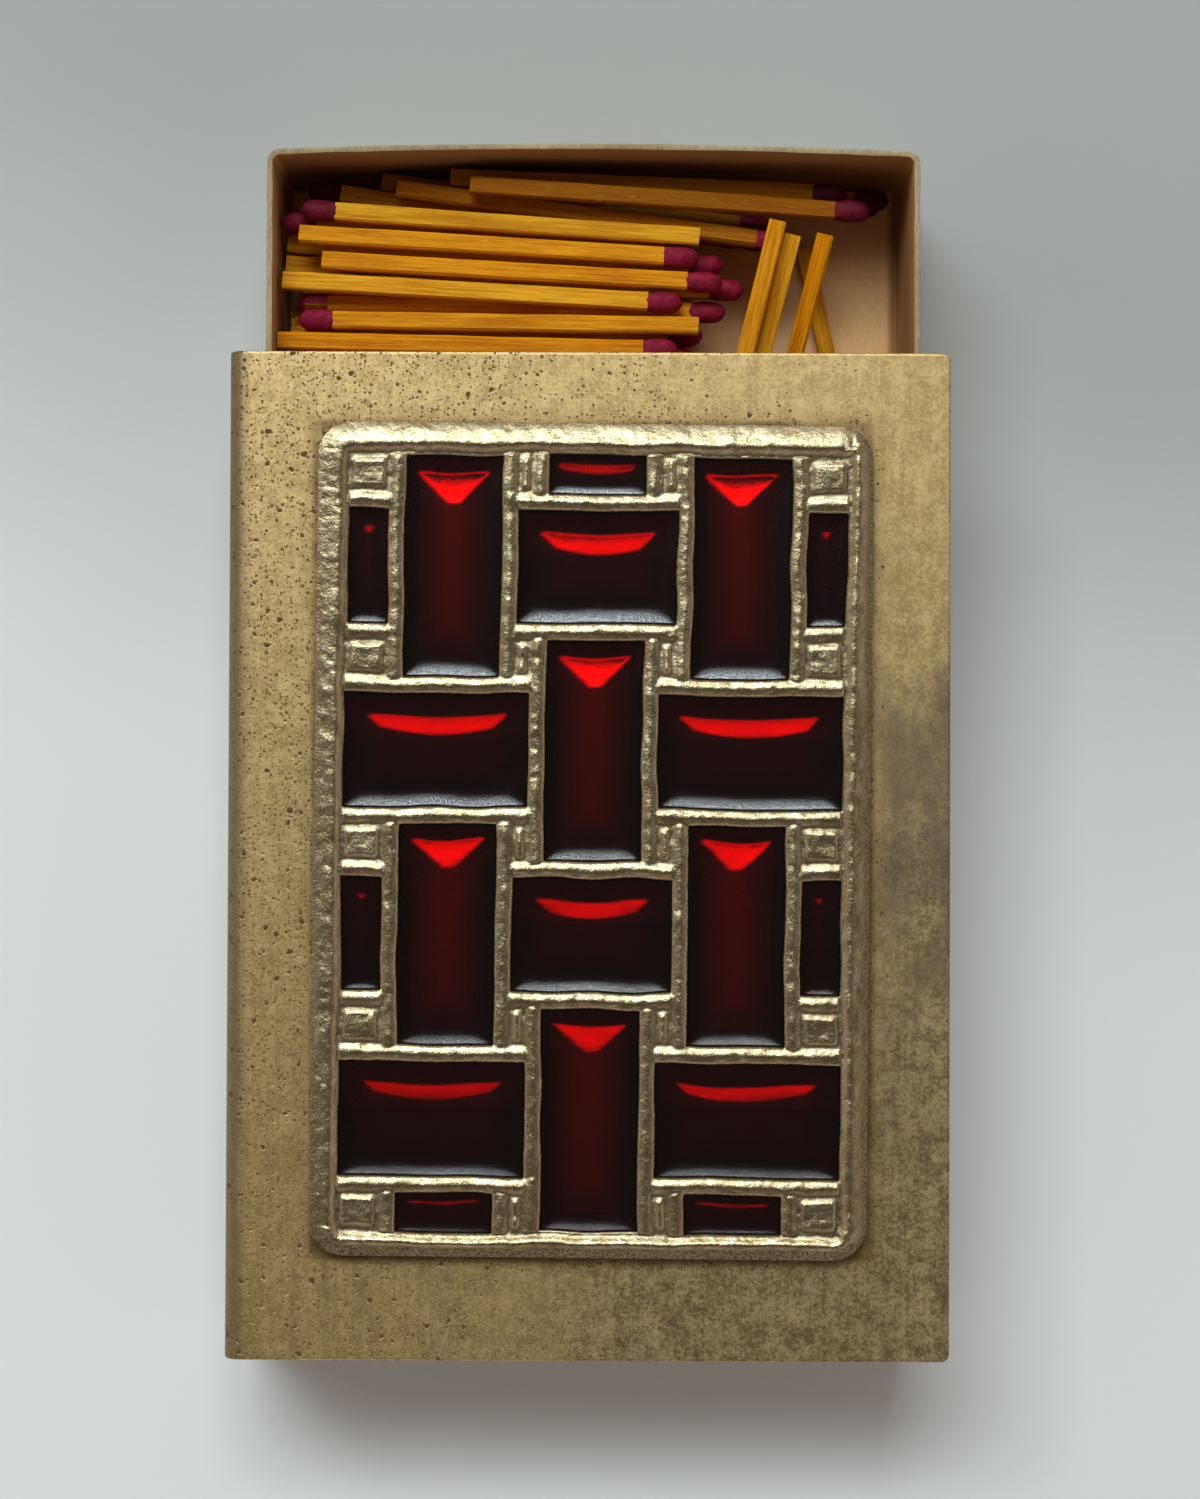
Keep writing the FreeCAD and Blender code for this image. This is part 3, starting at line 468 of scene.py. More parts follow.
def make_enamel(glass):
    """A pool in each cell: concave on top, climbing the walls, with its foot under the crowned floor."""
    for place, cell in enumerate(CELLS):
        run = min(POOL_RUN, cell.narrow * POOL_RUN_SHARE)
        half_u, half_v = cell.half_u + POOL_MARGIN, cell.half_v + POOL_MARGIN
        lines_u = grid_lines([cell.u - half_u, cell.u + half_u], POOL_STEP)
        lines_v = grid_lines([cell.v - half_v, cell.v + half_v], POOL_STEP)
        u, v = np.meshgrid(lines_u, lines_v, indexing="ij")
        depth_u, depth_v = (depth + POOL_MARGIN for depth in cell.depth(u, v))
        nearest = np.minimum(depth_u, depth_v)
        ratio = np.clip(nearest / np.maximum(depth_u, depth_v).clip(POOL_FOOT), 0, 1)
        depth = nearest * (1 + ratio**POOL_ROUNDNESS) ** (-1 / POOL_ROUNDNESS) - POOL_MARGIN
        share = np.clip(depth / run, -1, 1)
        fall = POOL_SLOPE * run * np.where(share > 0, share - share**3 / 3, share)
        top = POOL_EDGE - fall + bumps(u, v, POOL_BUMPS, seed=41 + place)
        points, faces = relief(seat(*wobbled(u, v), top), top.shape, PLAQUE_FOOT + POOL_FOOT)
        name = cell.node.replace("enamel_cell", "enamel_pool")
        piece(name, points, faces, "holder", "red_enamel", [cell.node], [glass])


# Matches: each lies where its CAD stick and head lie

MATCH_GROUPS = ("lower_match", "middle_match", "upper_match", "lengthwise_match")
POINT_DECIMALS = 3
STICK_RINGS = 14
STICK_BEVEL_SHARE = 0.16
STICK_WORN_SHARES = (0.3, 1.0)
STICK_UNEVEN_SHARE = 0.06
STICK_BEND = 0.16
TAIL_RAGGED = 0.12
HEAD_RINGS = 9
HEAD_SIDES = 14
HEAD_NECK_SHARE = 0.78
HEAD_NECK_RUN_SHARE = 0.45
HEAD_TAPER_SHARE = 0.5
HEAD_TAPER_POWER = 2.6
HEAD_TIP_SHARE = 0.02
HEAD_CORNER_SHARE = 1.18
HEAD_LUMP_SHARE = 0.05
HEAD_RAGGED = 0.3
ROUND_POWER = 2
SQUARE_POWER = 5
FIRST_STICK_SEED = 500
FIRST_HEAD_SEED = 300
GROUP_SEED_STEP = 1000
GRAIN_SPREAD = 400.0
# Painted shade on the matches near the tray's far wall: where it starts along the tray and how far it takes
# to deepen.
FAR_SHADE_FROM = 66.8
FAR_SHADE_RUN = 5.0
EDGE_ANGLE = 38


def loose_solids(node):
    """The corner points of each separate solid of a CAD node."""
    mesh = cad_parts[node].data
    points = np.array([vertex.co for vertex in mesh.vertices]) / MM
    keys = [tuple(key) for key in np.round(points, POINT_DECIMALS)]
    corners = {key: place for place, key in enumerate(dict.fromkeys(keys))}
    faces = [[corners[keys[place]] for place in face.vertices] for face in mesh.polygons]
    solids, before = np.arange(len(corners)), None
    while not np.array_equal(solids, before):
        before = solids.copy()
        for face in faces:
            solids[face] = solids[face].min()
    places = np.array(list(corners))
    return [places[solids == solid] for solid in np.unique(solids)]


def match_frames(sticks, heads):
    """Each match's tail, its three axes, its stick's length and width, and its head's length and width."""
    head_solids = loose_solids(heads)
    head_middles = [(solid.min(axis=0) + solid.max(axis=0)) / 2 for solid in head_solids]
    for stick in loose_solids(sticks):
        middle = stick.mean(axis=0)
        ways = sorted(stick[1:] - stick[0], key=norm)
        width, diagonal = norm(ways[0]), norm(ways[-1])
        length = math.sqrt(diagonal**2 - 2 * width**2)
        edge = min(stick[1:] - stick[0], key=lambda way: abs(norm(way) - length))
        axis, across = edge / norm(edge), ways[0] / width
        tips = middle - axis * length / 2, middle + axis * length / 2
        nearest = np.argmin([min(norm(head - tip) for tip in tips) for head in head_middles])
        if np.dot(head_middles[nearest] - middle, axis) < 0:
            axis = -axis
        head = head_solids[nearest] - middle
        yield {
            "tail": middle - axis * length / 2,
            "axes": (axis, across, np.cross(axis, across)),
            "stick": (length, width),
            "head": (np.ptp(head @ axis), np.ptp(head @ across)),
        }


def tube(rings):
    """Faces of a tube through rings of points, closed at both ends."""
    index = np.arange(len(rings) * len(rings[0])).reshape(len(rings), -1)
    after = np.roll(index, -1, axis=1)
    quads = np.stack([index[:-1], after[:-1], after[1:], index[1:]], axis=-1)
    return [*quads.reshape(-1, 4).tolist(), index[0, ::-1].tolist(), index[-1].tolist()]


def stick_rings(match, seed):
    """A split stick: square with worn corners, a little bent and uneven, its tail cut ragged."""
    draw = np.random.default_rng(seed)
    length, width = match["stick"]
    half, cut = width / 2, width * STICK_BEVEL_SHARE
    profile = []
    for a, b in ((1, 1), (-1, 1), (-1, -1), (1, -1)):
        worn = cut * draw.uniform(*STICK_WORN_SHARES)
        ends = [(a * half, b * (half - worn)), (a * (half - worn), b * half)]
        profile += ends if a * b > 0 else ends[::-1]
    profile = np.array(profile)
    bend = draw.uniform(-STICK_BEND, STICK_BEND, 2)
    rings = []
    for place in range(STICK_RINGS):
        share = place / (STICK_RINGS - 1)
        swell = 1 + draw.uniform(-STICK_UNEVEN_SHARE, 0, 2)
        sag = bend * (share * (1 - share))
        along = np.full(len(profile), share * length)
        if place == 0:
            along += draw.uniform(0, TAIL_RAGGED, len(profile))
        rings.append(np.column_stack([along, profile * swell * (1 - STICK_UNEVEN_SHARE / 2) + sag]))
    return rings


def head_rings(match, seed):
    """A dipped head: square at the neck, swelling to a rounded bulb."""
    draw = np.random.default_rng(seed)
    length, width = match["head"]
    start = match["stick"][0]
    angles = np.arange(HEAD_SIDES) * 2 * math.pi / HEAD_SIDES
    across, up = np.cos(angles), np.sin(angles)
    rings = []
    for place in range(HEAD_RINGS):
        share = place / (HEAD_RINGS - 1)
        swelling = math.sin(math.pi / 2 * min(1, share / HEAD_NECK_RUN_SHARE))
        bulge = HEAD_NECK_SHARE + (1 - HEAD_NECK_SHARE) * swelling
        past = max(0, (share - HEAD_TAPER_SHARE) / (1 - HEAD_TAPER_SHARE))
        taper = math.sqrt(max(HEAD_TIP_SHARE, 1 - past**HEAD_TAPER_POWER))
        power = ROUND_POWER + (SQUARE_POWER - ROUND_POWER) * (1 - share) ** 2
        spread = (np.abs(across) ** power + np.abs(up) ** power) ** (-1 / power)
        lumps = 1 - HEAD_LUMP_SHARE * draw.random(HEAD_SIDES)
        reach = width / 2 * bulge * taper * np.minimum(spread, HEAD_CORNER_SHARE) * lumps
        reach = np.minimum(reach, width / 2)
        along = np.full(HEAD_SIDES, start + share * length)
        if place == 0:
            along -= HEAD_RAGGED * draw.random(HEAD_SIDES)
        rings.append(np.column_stack([along, reach * across, reach * up]))
    return rings


def make_matches(wood, compound):
    """The sticks and heads of each group of matches, in two pieces."""
    kinds = (
        ("sticks", stick_rings, FIRST_STICK_SEED, wood, "match_wood"),
        ("heads", head_rings, FIRST_HEAD_SEED, compound, "match_head"),
    )
    for group in MATCH_GROUPS:
        matches = list(match_frames(f"{group}_sticks", f"{group}_heads"))
        for kind, rings_of, first_seed, look, slot in kinds:
            points, faces = [], []
            values = {"grain": [], "tone": [], "far_shade": []}
            for place, match in enumerate(matches):
                seed = first_seed + place + GROUP_SEED_STEP * len(group)
                rings = rings_of(match, seed)
                local = np.concatenate(rings)
                start = sum(map(len, points))
                faces += [[start + corner for corner in face] for face in tube(rings)]
                points.append(match["tail"] + local @ np.array(match["axes"]))
                shade = np.random.default_rng(seed).random(3)
                # How deep the match lies in painted shade near the far wall.
                far_shade = smooth((points[-1][:, 1].mean() - FAR_SHADE_FROM) / FAR_SHADE_RUN)
                values["grain"].append(local + shade * GRAIN_SPREAD)
                values["tone"].append(np.full(len(local), shade[0]))
                values["far_shade"].append(np.full(len(local), far_shade))
            node = f"{group}_{kind}"
            thing = piece(f"{node}_shaped", np.concatenate(points), faces, "tray", slot, [node], [look])
            for name, parts in values.items():
                add_values(thing, name, np.concatenate(parts))
            crisp_edges(thing)


def crisp_edges(thing):
    """Keep edges sharper than an angle crisp."""
    thing.data.set_sharp_from_angle(angle=math.radians(EDGE_ANGLE))


# Tray: folded board, wavy along its rim

TRAY_WALL = 0.75
TRAY_FLOOR = 0.9
TRAY_CORNER = 1.4
FLAT_INSET = 1.3
TRAY_BOW = 0.75
RIM_SOFT = 0.14
RIM_FROM_SHARE = 0.9
RIM_WAVE = 0.16
RIM_WAVE_SIZE = 14.0
RIM_FRAY = 0.07
RIM_FRAY_SIZE = 1.6
WALL_BULGE = 0.06
WALL_BULGE_SIZE = 28.0
UPPER_WALL_SHARE = 0.75
SIDE_STEP = 0.9
CORNER_STEPS = 7


def tray_outline(half_width, half_length):
    """Points round a rectangle with round corners, anticlockwise, with their outward ways."""
    points, ways = [], []
    corners = ((1, -1, -90), (1, 1, 0), (-1, 1, 90), (-1, -1, 180))
    hub = np.array([half_width, half_length]) - TRAY_CORNER
    for place, (a, b, first) in enumerate(corners):
        for step in range(CORNER_STEPS + 1):
            angle = math.radians(first + 90 * step / CORNER_STEPS)
            way = np.array([math.cos(angle), math.sin(angle)])
            points.append(hub * (a, b) + TRAY_CORNER * way)
            ways.append(way)
        after = corners[(place + 1) % len(corners)]
        start, end = points[-1], hub * after[:2] + TRAY_CORNER * ways[-1]
        count = round(norm(end - start) / SIDE_STEP)
        for step in range(1, count):
            points.append(start + (end - start) * step / count)
            ways.append(ways[-1])
    return np.array(points), np.array(ways)


def tray_profile(tall):
    """The tray's rings: how far each is drawn in, its height, whether it can bulge, and its look."""
    soft, wall = RIM_SOFT, TRAY_WALL
    return (
        (FLAT_INSET, 0.0, 0, 0),
        (soft, 0.0, 0, 0),
        (0.0, soft, 0, 0),
        (0.0, tall / 2, 1, 0),
        (0.0, tall - 2 * soft, 1, 0),
        (soft / 2, tall - soft / 2, 1, 1),
        (2 * soft, tall, 1, 1),
        (wall / 2, tall, 1, 1),
        (wall - 2 * soft, tall, 1, 1),
        (wall - soft / 2, tall - soft / 2, 1, 1),
        (wall, tall - 2 * soft, 1, 2),
        (wall, tall * UPPER_WALL_SHARE, 1, 2),
        (wall, tall / 2, 1, 2),
        (wall, TRAY_FLOOR + 2 * soft, 0, 2),
        (wall + soft, TRAY_FLOOR + soft / 2, 0, 2),
        (wall + 3 * soft, TRAY_FLOOR, 0, 2),
        (FLAT_INSET, TRAY_FLOOR, 0, 2),
    )


def make_tray(outside, rim, inside):
    """The tray as rings from its underside over its rim down to its floor, each with its own look."""
    low, high = (np.array(point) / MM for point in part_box("matchbox_tray"))
    middle = (low + high) / 2
    half_width = (high - low)[0] / 2
    half_length = (high - low)[1] / 2 - TRAY_BOW
    tall = (high - low)[2]
    points, ways = tray_outline(half_width, half_length)
    around = np.concatenate([[0.0], np.cumsum(norm(np.diff(points, axis=0), axis=1))])
    still = np.zeros_like(around)
    wave = lattice(around, still, RIM_WAVE_SIZE, seed=61)
    fray = lattice(around, still, RIM_FRAY_SIZE, seed=67)
    bulge = lattice(around, still, WALL_BULGE_SIZE, seed=71)
    bow = TRAY_BOW * (1 - (points[:, 0] / half_width) ** 2) * np.sign(points[:, 1])
    bow *= np.abs(points[:, 1]) > half_length - TRAY_CORNER
    rings, marks = [], []
    for inward, height, free, mark in tray_profile(tall):
        in_wall = height / tall
        on_rim = smooth((in_wall - RIM_FROM_SHARE) / (1 - RIM_FROM_SHARE))
        shift = inward + free * in_wall * WALL_BULGE * (bulge + 1) / 2
        shift = shift + free * on_rim * RIM_FRAY * (fray + 1) / 2 * np.sign(TRAY_WALL / 2 - inward)
        plan = middle[:2] + points - ways * shift[:, None]
        z = low[2] + height - on_rim * RIM_WAVE * (wave + 1) / 2
        rings.append(np.column_stack([plan[:, 0], plan[:, 1] + bow, z]))
        marks += [mark] * len(points)
    nodes, looks = ["matchbox_tray"], [outside, rim, inside]
    marks = marks[len(points) :] + [0, 2]
    points = np.concatenate(rings)
    crisp_edges(piece("folded_tray", points, tube(rings), "tray", "tray_card", nodes, looks, marks))


# Looks: procedural materials, with their textures laid out in millimetres

SPECK_POWER = 1.3
SPECK_EDGE_SHARES = (-0.08, 0.02)


class Nodes:
    """The shader nodes of a material or a world."""

    def __init__(self, owner):
        owner.use_nodes = True
        self.tree = owner.node_tree

    def add(self, kind, inputs=(), **settings):
        """A new node, with settings for the node and values or links for its inputs."""
        node = self.tree.nodes.new(kind)
        for name, value in settings.items():
            setattr(node, name, value)
        for name, value in dict(inputs).items():
            self.feed(node.inputs[name], value)
        return node

    def feed(self, socket, value):
        """Link a socket to an output, or give it a constant."""
        if isinstance(value, bpy.types.NodeSocket):
            self.tree.links.new(value, socket)
        else:
            socket.default_value = (*value, 1) if socket.type == "RGBA" else value

    def mix(self, share, first, second):
        """A colour between two, by a share."""
        node = self.add("ShaderNodeMix", {"Factor": share}, data_type="RGBA")
        colours = [socket for socket in node.inputs if socket.type == "RGBA"]
        for socket, colour in zip(colours, (first, second)):
            self.feed(socket, colour)
        return next(socket for socket in node.outputs if socket.type == "RGBA")


class Look(Nodes):
    """A Principled material and the texture nodes that feed it."""

    def __init__(self, name, **constants):
        self.material = bpy.data.materials.new(name)
        super().__init__(self.material)
        self.shader = self.tree.nodes["Principled BSDF"]
        for socket, value in constants.items():
            self.set(socket.replace("_", " "), value)
        place = self.add("ShaderNodeTexCoord").outputs["Object"]
        self.place = self.scaled(place, (1 / MM,) * 3)

    def set(self, name, value):
        """Feed one of the shader's own sockets."""
        self.feed(self.shader.inputs[name], value)

    def scaled(self, vector, scale):
        """A vector, scaled along each axis."""
        return self.add("ShaderNodeMapping", {"Vector": vector, "Scale": scale}).outputs["Vector"]

    def noise(self, size, stretch=(1, 1, 1), detail=3.0, rough=0.55, place=None):
        """Noise with lumps about as wide as the size, drawn out by a stretch."""
        scale = tuple(1 / (size * factor) for factor in stretch)
        where = self.scaled(place or self.place, scale)
        inputs = {"Vector": where, "Scale": 1.0, "Detail": detail, "Roughness": rough}
        return self.add("ShaderNodeTexNoise", inputs).outputs["Fac"]

    def cells(self, size, place=None):
        """Scattered points: the distance to the nearest, and a random triple for it."""
        where = self.scaled(place or self.place, (1 / size,) * 3)
        node = self.add("ShaderNodeTexVoronoi", {"Vector": where, "Scale": 1.0})
        parts = self.add("ShaderNodeSeparateColor", {"Color": node.outputs["Color"]})
        return node.outputs["Distance"], parts.outputs

    def ramp(self, value, low, high, start=0.0, end=1.0):
        """A value carried from one span to another in an S-curve, held at both ends."""
        inputs = {"Value": value, "From Min": low, "From Max": high, "To Min": start, "To Max": end}
        return self.add("ShaderNodeMapRange", inputs, interpolation_type="SMOOTHSTEP").outputs["Result"]

    def math(self, operation, first, second=0.0):
        """One sum over numbers."""
        node = self.add("ShaderNodeMath", operation=operation)
        self.feed(node.inputs[0], first)
        self.feed(node.inputs[1], second)
        return node.outputs[0]

    def total(self, *terms, base=0.0):
        """The sum of a base and of values, each with its weight."""
        result = base
        for value, weight in terms:
            result = self.math("ADD", self.math("MULTIPLY", value, weight), result)
        return result

    def vector(self, operation, *inputs, output="Vector"):
        """One sum over vectors."""
        node = self.add("ShaderNodeVectorMath", operation=operation)
        for socket, value in zip(node.inputs, inputs):
            self.feed(socket, value)
        return node.outputs[output]

    def axis(self, name):
        """One coordinate of the place, in millimetres."""
        return self.add("ShaderNodeSeparateXYZ", {"Vector": self.place}).outputs[name]

    def stored(self, name, output="Fac"):
        """A value that the mesh keeps for each of its points."""
        return self.add("ShaderNodeAttribute", attribute_name=name).outputs[output]

    def jitter(self, size):
        """The place, shaken by noise as far as the noise is wide."""
        where = self.scaled(self.place, (1 / size,) * 3)
        noise = self.add("ShaderNodeTexNoise", {"Vector": where, "Scale": 1.0, "Detail": 2.0})
        return self.vector("MULTIPLY_ADD", noise.outputs["Color"], (size,) * 3, self.place)

    def specks(self, size, reach_share, crowd):
        """Ragged specks of uneven sizes, more of them where they crowd."""
        distance, random = self.cells(size, place=self.jitter(size / 2))
        reach = self.math("MULTIPLY", self.math("POWER", random["Red"], SPECK_POWER), reach_share)
        inside = self.ramp(self.math("SUBTRACT", distance, reach), *SPECK_EDGE_SHARES, 1.0, 0.0)
        return self.math("MULTIPLY", inside, self.math("LESS_THAN", random["Green"], crowd))

    def distance(self, middle, half):
        """How far the place is, in plan, outside a box."""
        offset = self.vector("SUBTRACT", self.scaled(self.place, (1, 1, 0)), (*middle, 0))
        past = self.vector("SUBTRACT", self.vector("ABSOLUTE", offset), (*half, 0))
        return self.vector("LENGTH", self.vector("MAXIMUM", past), output="Value")

    def bump(self, heights, depths, edge=0.0):
        """Bump from heights, each with its depth in millimetres, over edges worn round by a radius."""
        normal = None
        if edge:
            normal = self.add("ShaderNodeBevel", {"Radius": edge * MM}).outputs["Normal"]
        for height, depth in zip(heights, depths):
            inputs = {"Height": height, "Strength": 1.0, "Distance": depth * MM}
            if normal is not None:
                inputs["Normal"] = normal
            normal = self.add("ShaderNodeBump", inputs).outputs["Normal"]
        self.set("Normal", normal)


# Gilt sheet: the halo and the foot are measured from the plaque, and the other spans are places across
# or along the sheet. A lean is a change for each millimetre across and along.

BRUSH_WIDTH = 0.45
MOTTLE_WIDTH = 0.36
CLOUD_WIDTH = 1.7
CLUSTER_WIDTH = 6.0
STAIN_WIDTH = 9.0
BLOTCH_WIDTH = 12.0
DUST_WIDTH, FINE_WIDTH, COARSE_WIDTH = 0.34, 0.55, 1.25
GILT_DEPTHS = (-0.04, 0.004, 0.010, 0.06)
SHEET_WEAR = 0.25
HALO_SPAN = (0.1, 2.4)
FOOT_SPAN = (0.05, 0.8)
BEND_SHADE_ACROSS = (-37.7, -35.7)
STAIN_ACROSS = (27.0, 33.0)
STAIN_ALONG = (18.0, 40.0)
TARNISH_LEAN = (0.010, -0.006)
SPECK_LEAN = (-0.0075, 0.0005)
GILT_COLOURS = (0.49, 0.325, 0.133), (0.71, 0.505, 0.225)
DULL_COLOURS = (0.15, 0.110, 0.057), (0.49, 0.37, 0.192)
RUST_COLOURS = (0.045, 0.021, 0.007), (0.18, 0.08, 0.02)
STAIN_COLOUR = (0.17, 0.12, 0.085)
BEND_SHADE_COLOUR = (0.18, 0.14, 0.085)
FOOT_RUST_AND_SHADE_COLOUR = (0.10, 0.058, 0.024)
HALO_COLOUR = (0.34, 0.21, 0.09)


def gilt_sheet_look():
    """Pale gilt brass: grainy, brushed along its length, rust-specked, tarnished to the right and below."""
    look = Look("gilt_sheet", Metallic=1.0)
    x, y = look.axis("X"), look.axis("Y")
    brushed = look.noise(BRUSH_WIDTH, stretch=(1, 28, 1))
    mottle = look.noise(MOTTLE_WIDTH, detail=4.0, rough=0.75)
    cloud = look.noise(CLOUD_WIDTH, detail=5.0, rough=0.7)
    cluster = look.noise(CLUSTER_WIDTH, detail=4.0, rough=0.65)
    blotch = look.noise(BLOTCH_WIDTH, stretch=(1, 1.7, 1), detail=6.0, rough=0.6)

    lean = look.total((x, TARNISH_LEAN[0]), (y, TARNISH_LEAN[1]), (blotch, 1.1), (brushed, 0.15))
    tarnish = look.ramp(lean, 0.60, 1.15)
    streaked = look.ramp(look.total((mottle, 0.55), (cloud, 0.45), (brushed, 0.12)), 0.44, 0.68)
    gilt, dull = look.mix(streaked, *GILT_COLOURS), look.mix(streaked, *DULL_COLOURS)
    colour = look.mix(look.ramp(tarnish, 0.0, 1.0, 0.1, 0.85), gilt, dull)

    along = look.ramp(look.math("ABSOLUTE", y), *STAIN_ALONG, 1.0, 0.0)
    side = look.math("MULTIPLY", look.ramp(x, *STAIN_ACROSS), along)
    stained = look.ramp(look.noise(STAIN_WIDTH, stretch=(1, 2, 1), detail=5.0), 0.40, 0.62)
    stain = look.math("MULTIPLY", side, stained)
    colour = look.mix(look.math("MULTIPLY", stain, 0.75), colour, STAIN_COLOUR)
    # Painted shade on the spine's bend, which reflects darker.
    colour = look.mix(look.ramp(x, *BEND_SHADE_ACROSS, 0.8, 0.0), colour, BEND_SHADE_COLOUR)

    far = look.distance(PLAQUE_MIDDLE, (PLAQUE_WIDTH / 2, PLAQUE_LENGTH / 2))
    # A patchy dark band at the plaque's foot: rust, deepened by painted shade where the plaque meets the
    # sheet.
    patchy = look.ramp(cluster, 0.35, 0.6, 0.4, 1.0)
    foot = look.math("MULTIPLY", look.ramp(far, *FOOT_SPAN, 0.9, 0.0), patchy)
    colour = look.mix(foot, colour, FOOT_RUST_AND_SHADE_COLOUR)
    halo = look.ramp(far, *HALO_SPAN, 1.0, 0.0)
    colour = look.mix(look.math("MULTIPLY", halo, 0.35), colour, HALO_COLOUR)

    crowd = look.total((cluster, 1.0), (x, SPECK_LEAN[0]), (y, SPECK_LEAN[1]), (halo, 0.32))
    dust = look.specks(DUST_WIDTH, 0.42, look.ramp(crowd, 0.36, 0.80))
    fine = look.specks(FINE_WIDTH, 0.36, look.ramp(crowd, 0.30, 0.62))
    coarse = look.specks(COARSE_WIDTH, 0.30, look.ramp(crowd, 0.44, 0.72))
    speck = look.math("MAXIMUM", look.math("MULTIPLY", dust, 0.8), look.math("MULTIPLY", fine, 0.9))
    speck = look.math("MAXIMUM", speck, coarse)
    look.set("Base Color", look.mix(speck, colour, look.mix(mottle, *RUST_COLOURS)))
    look.set("Metallic", look.ramp(speck, 0.2, 0.9, 1.0, 0.25))
    worn = (brushed, 0.08), (tarnish, 0.08), (speck, 0.25), (mottle, 0.10), (stain, 0.05)
    look.set("Roughness", look.total(*worn, base=0.36))
    look.bump((speck, brushed, mottle, blotch), GILT_DEPTHS, edge=SHEET_WEAR)
    return look.material


# Casting and the floors of its cells

CAST_GRAIN_WIDTH, CAST_LUMP_WIDTH, CAST_PATCH_WIDTH = 0.26, 0.6, 1.6
CAST_DEPTHS = (0.04, 0.06, 0.09)
CAST_COLOURS = (0.38, 0.29, 0.157), (0.51, 0.415, 0.26)
COPPER_AND_SHADE_COLOURS = (0.095, 0.073, 0.042), (0.36, 0.285, 0.17)
SCRATCH_WIDTH, FLOOR_WAVE_WIDTH = 0.2, 1.5
CELL_FLOOR_DEPTHS = (0.003, 0.01)
SHADED_FLOOR_COLOURS = (0.28, 0.26, 0.23), (0.36, 0.34, 0.31)
HIGHLIT_FLOOR_COLOURS = (0.80, 0.76, 0.68), (0.90, 0.86, 0.78)


def cast_metal_look():
    """Silvery cast brass: bright on its high places, coppery in its hollows, with painted shade that
    darkens the hollows and the rim's edges.
    """
    look = Look("cast_metal", Metallic=1.0)
    patina_and_shade = look.ramp(look.stored("patina_and_shade"), -0.1, 0.85)
    grain = look.noise(CAST_GRAIN_WIDTH, detail=4.0, rough=0.7)
    lump = look.noise(CAST_LUMP_WIDTH)
    patch = look.noise(CAST_PATCH_WIDTH, detail=4.0, rough=0.6)
    bright = look.mix(look.ramp(patch, 0.35, 0.7), *CAST_COLOURS)
    # The coppery colours, darkened to stand for painted shade in the recesses.
    copper_and_shade = look.mix(look.ramp(grain, 0.35, 0.65), *COPPER_AND_SHADE_COLOURS)
    tint = look.ramp(look.total((patina_and_shade, 1.0), (grain, 0.6), (patch, 0.4)), 0.60, 1.25)
    look.set("Base Color", look.mix(tint, bright, copper_and_shade))
    look.set("Roughness", look.total((grain, 0.14), (tint, 0.14), base=0.2))
    look.bump((grain, lump, patch), CAST_DEPTHS)
    return look.material


def cell_floor_look():
    """The shiny metal under the enamel, brightened as a painted highlight where the window reflects and
    darker elsewhere as painted shade.
    """
    look = Look("cell_floor", Metallic=1.0)
    wave = look.noise(FLOOR_WAVE_WIDTH)
    scratch = look.noise(SCRATCH_WIDTH, stretch=(1, 14, 1))
    shaded_floor, highlit_floor = look.mix(wave, *SHADED_FLOOR_COLOURS), look.mix(wave, *HIGHLIT_FLOOR_COLOURS)
    look.set("Base Color", look.mix(look.stored("painted_highlight"), shaded_floor, highlit_floor))
    look.set("Roughness", look.total((scratch, 0.10), base=0.08))
    look.bump((scratch, wave), CELL_FLOOR_DEPTHS)
    return look.material


# Enamel: its absorption's density is for each metre

ENAMEL_DENSITY = 9000
ENAMEL_TINT = (0.86, 0.15, 0.12)
ENAMEL_WIDTHS = (0.16, 0.4, 0.9)
ENAMEL_DETAILS = (2.0, 3.0, 3.0)
ENAMEL_DEPTHS = (0.003, 0.005, 0.009)


def enamel_look():
    """Clear glass over a red absorption."""
    look = Look("red_enamel", Base_Color=(1.0, 1.0, 1.0), IOR=1.5, Transmission_Weight=1.0)
    ripples = [look.noise(width, detail=detail) for width, detail in zip(ENAMEL_WIDTHS, ENAMEL_DETAILS)]
    look.set("Roughness", look.ramp(ripples[0], 0.3, 0.7, 0.08, 0.24))
    look.bump(ripples, ENAMEL_DEPTHS)
    depth = look.add("ShaderNodeVolumeAbsorption", {"Color": ENAMEL_TINT, "Density": ENAMEL_DENSITY})
    look.feed(look.tree.nodes["Material Output"].inputs["Volume"], depth.outputs["Volume"])
    return look.material


# Board and striking paste. The lining has painted shade near the tray's far wall and side walls.

FIBRE_WIDTH, BOARD_STAIN_WIDTH = 0.35, 11.0
FIBRE_DEPTH, RIM_FIBRE_DEPTH, BOARD_STAIN_DEPTH = 0.03, 0.06, 0.1
WALL_SHADE_FROM = (74.0, 75.0)
WALL_SHADE_BESIDE = (33.2, 34.2)
WALL_SHADE_COLOUR = (0.30, 0.135, 0.04)
SLEEVE_COLOURS = (0.62, 0.52, 0.38), (0.74, 0.66, 0.52)
OUTSIDE_COLOURS = (0.50, 0.40, 0.25), (0.62, 0.52, 0.36)
RIM_COLOURS = (0.28, 0.197, 0.107), (0.47, 0.364, 0.213)
LINING_COLOURS = (0.88, 0.50, 0.215), (0.97, 0.60, 0.29)
GRIT_WIDTH, DOT_SPACING, PASTE_WEAR_WIDTH = 0.2, 0.9, 5.0
PASTE_DEPTHS = (0.06, 0.08)
PASTE_COLOURS = (0.16, 0.075, 0.05), (0.09, 0.035, 0.025)
PASTE_WORN = (0.24, 0.14, 0.10)


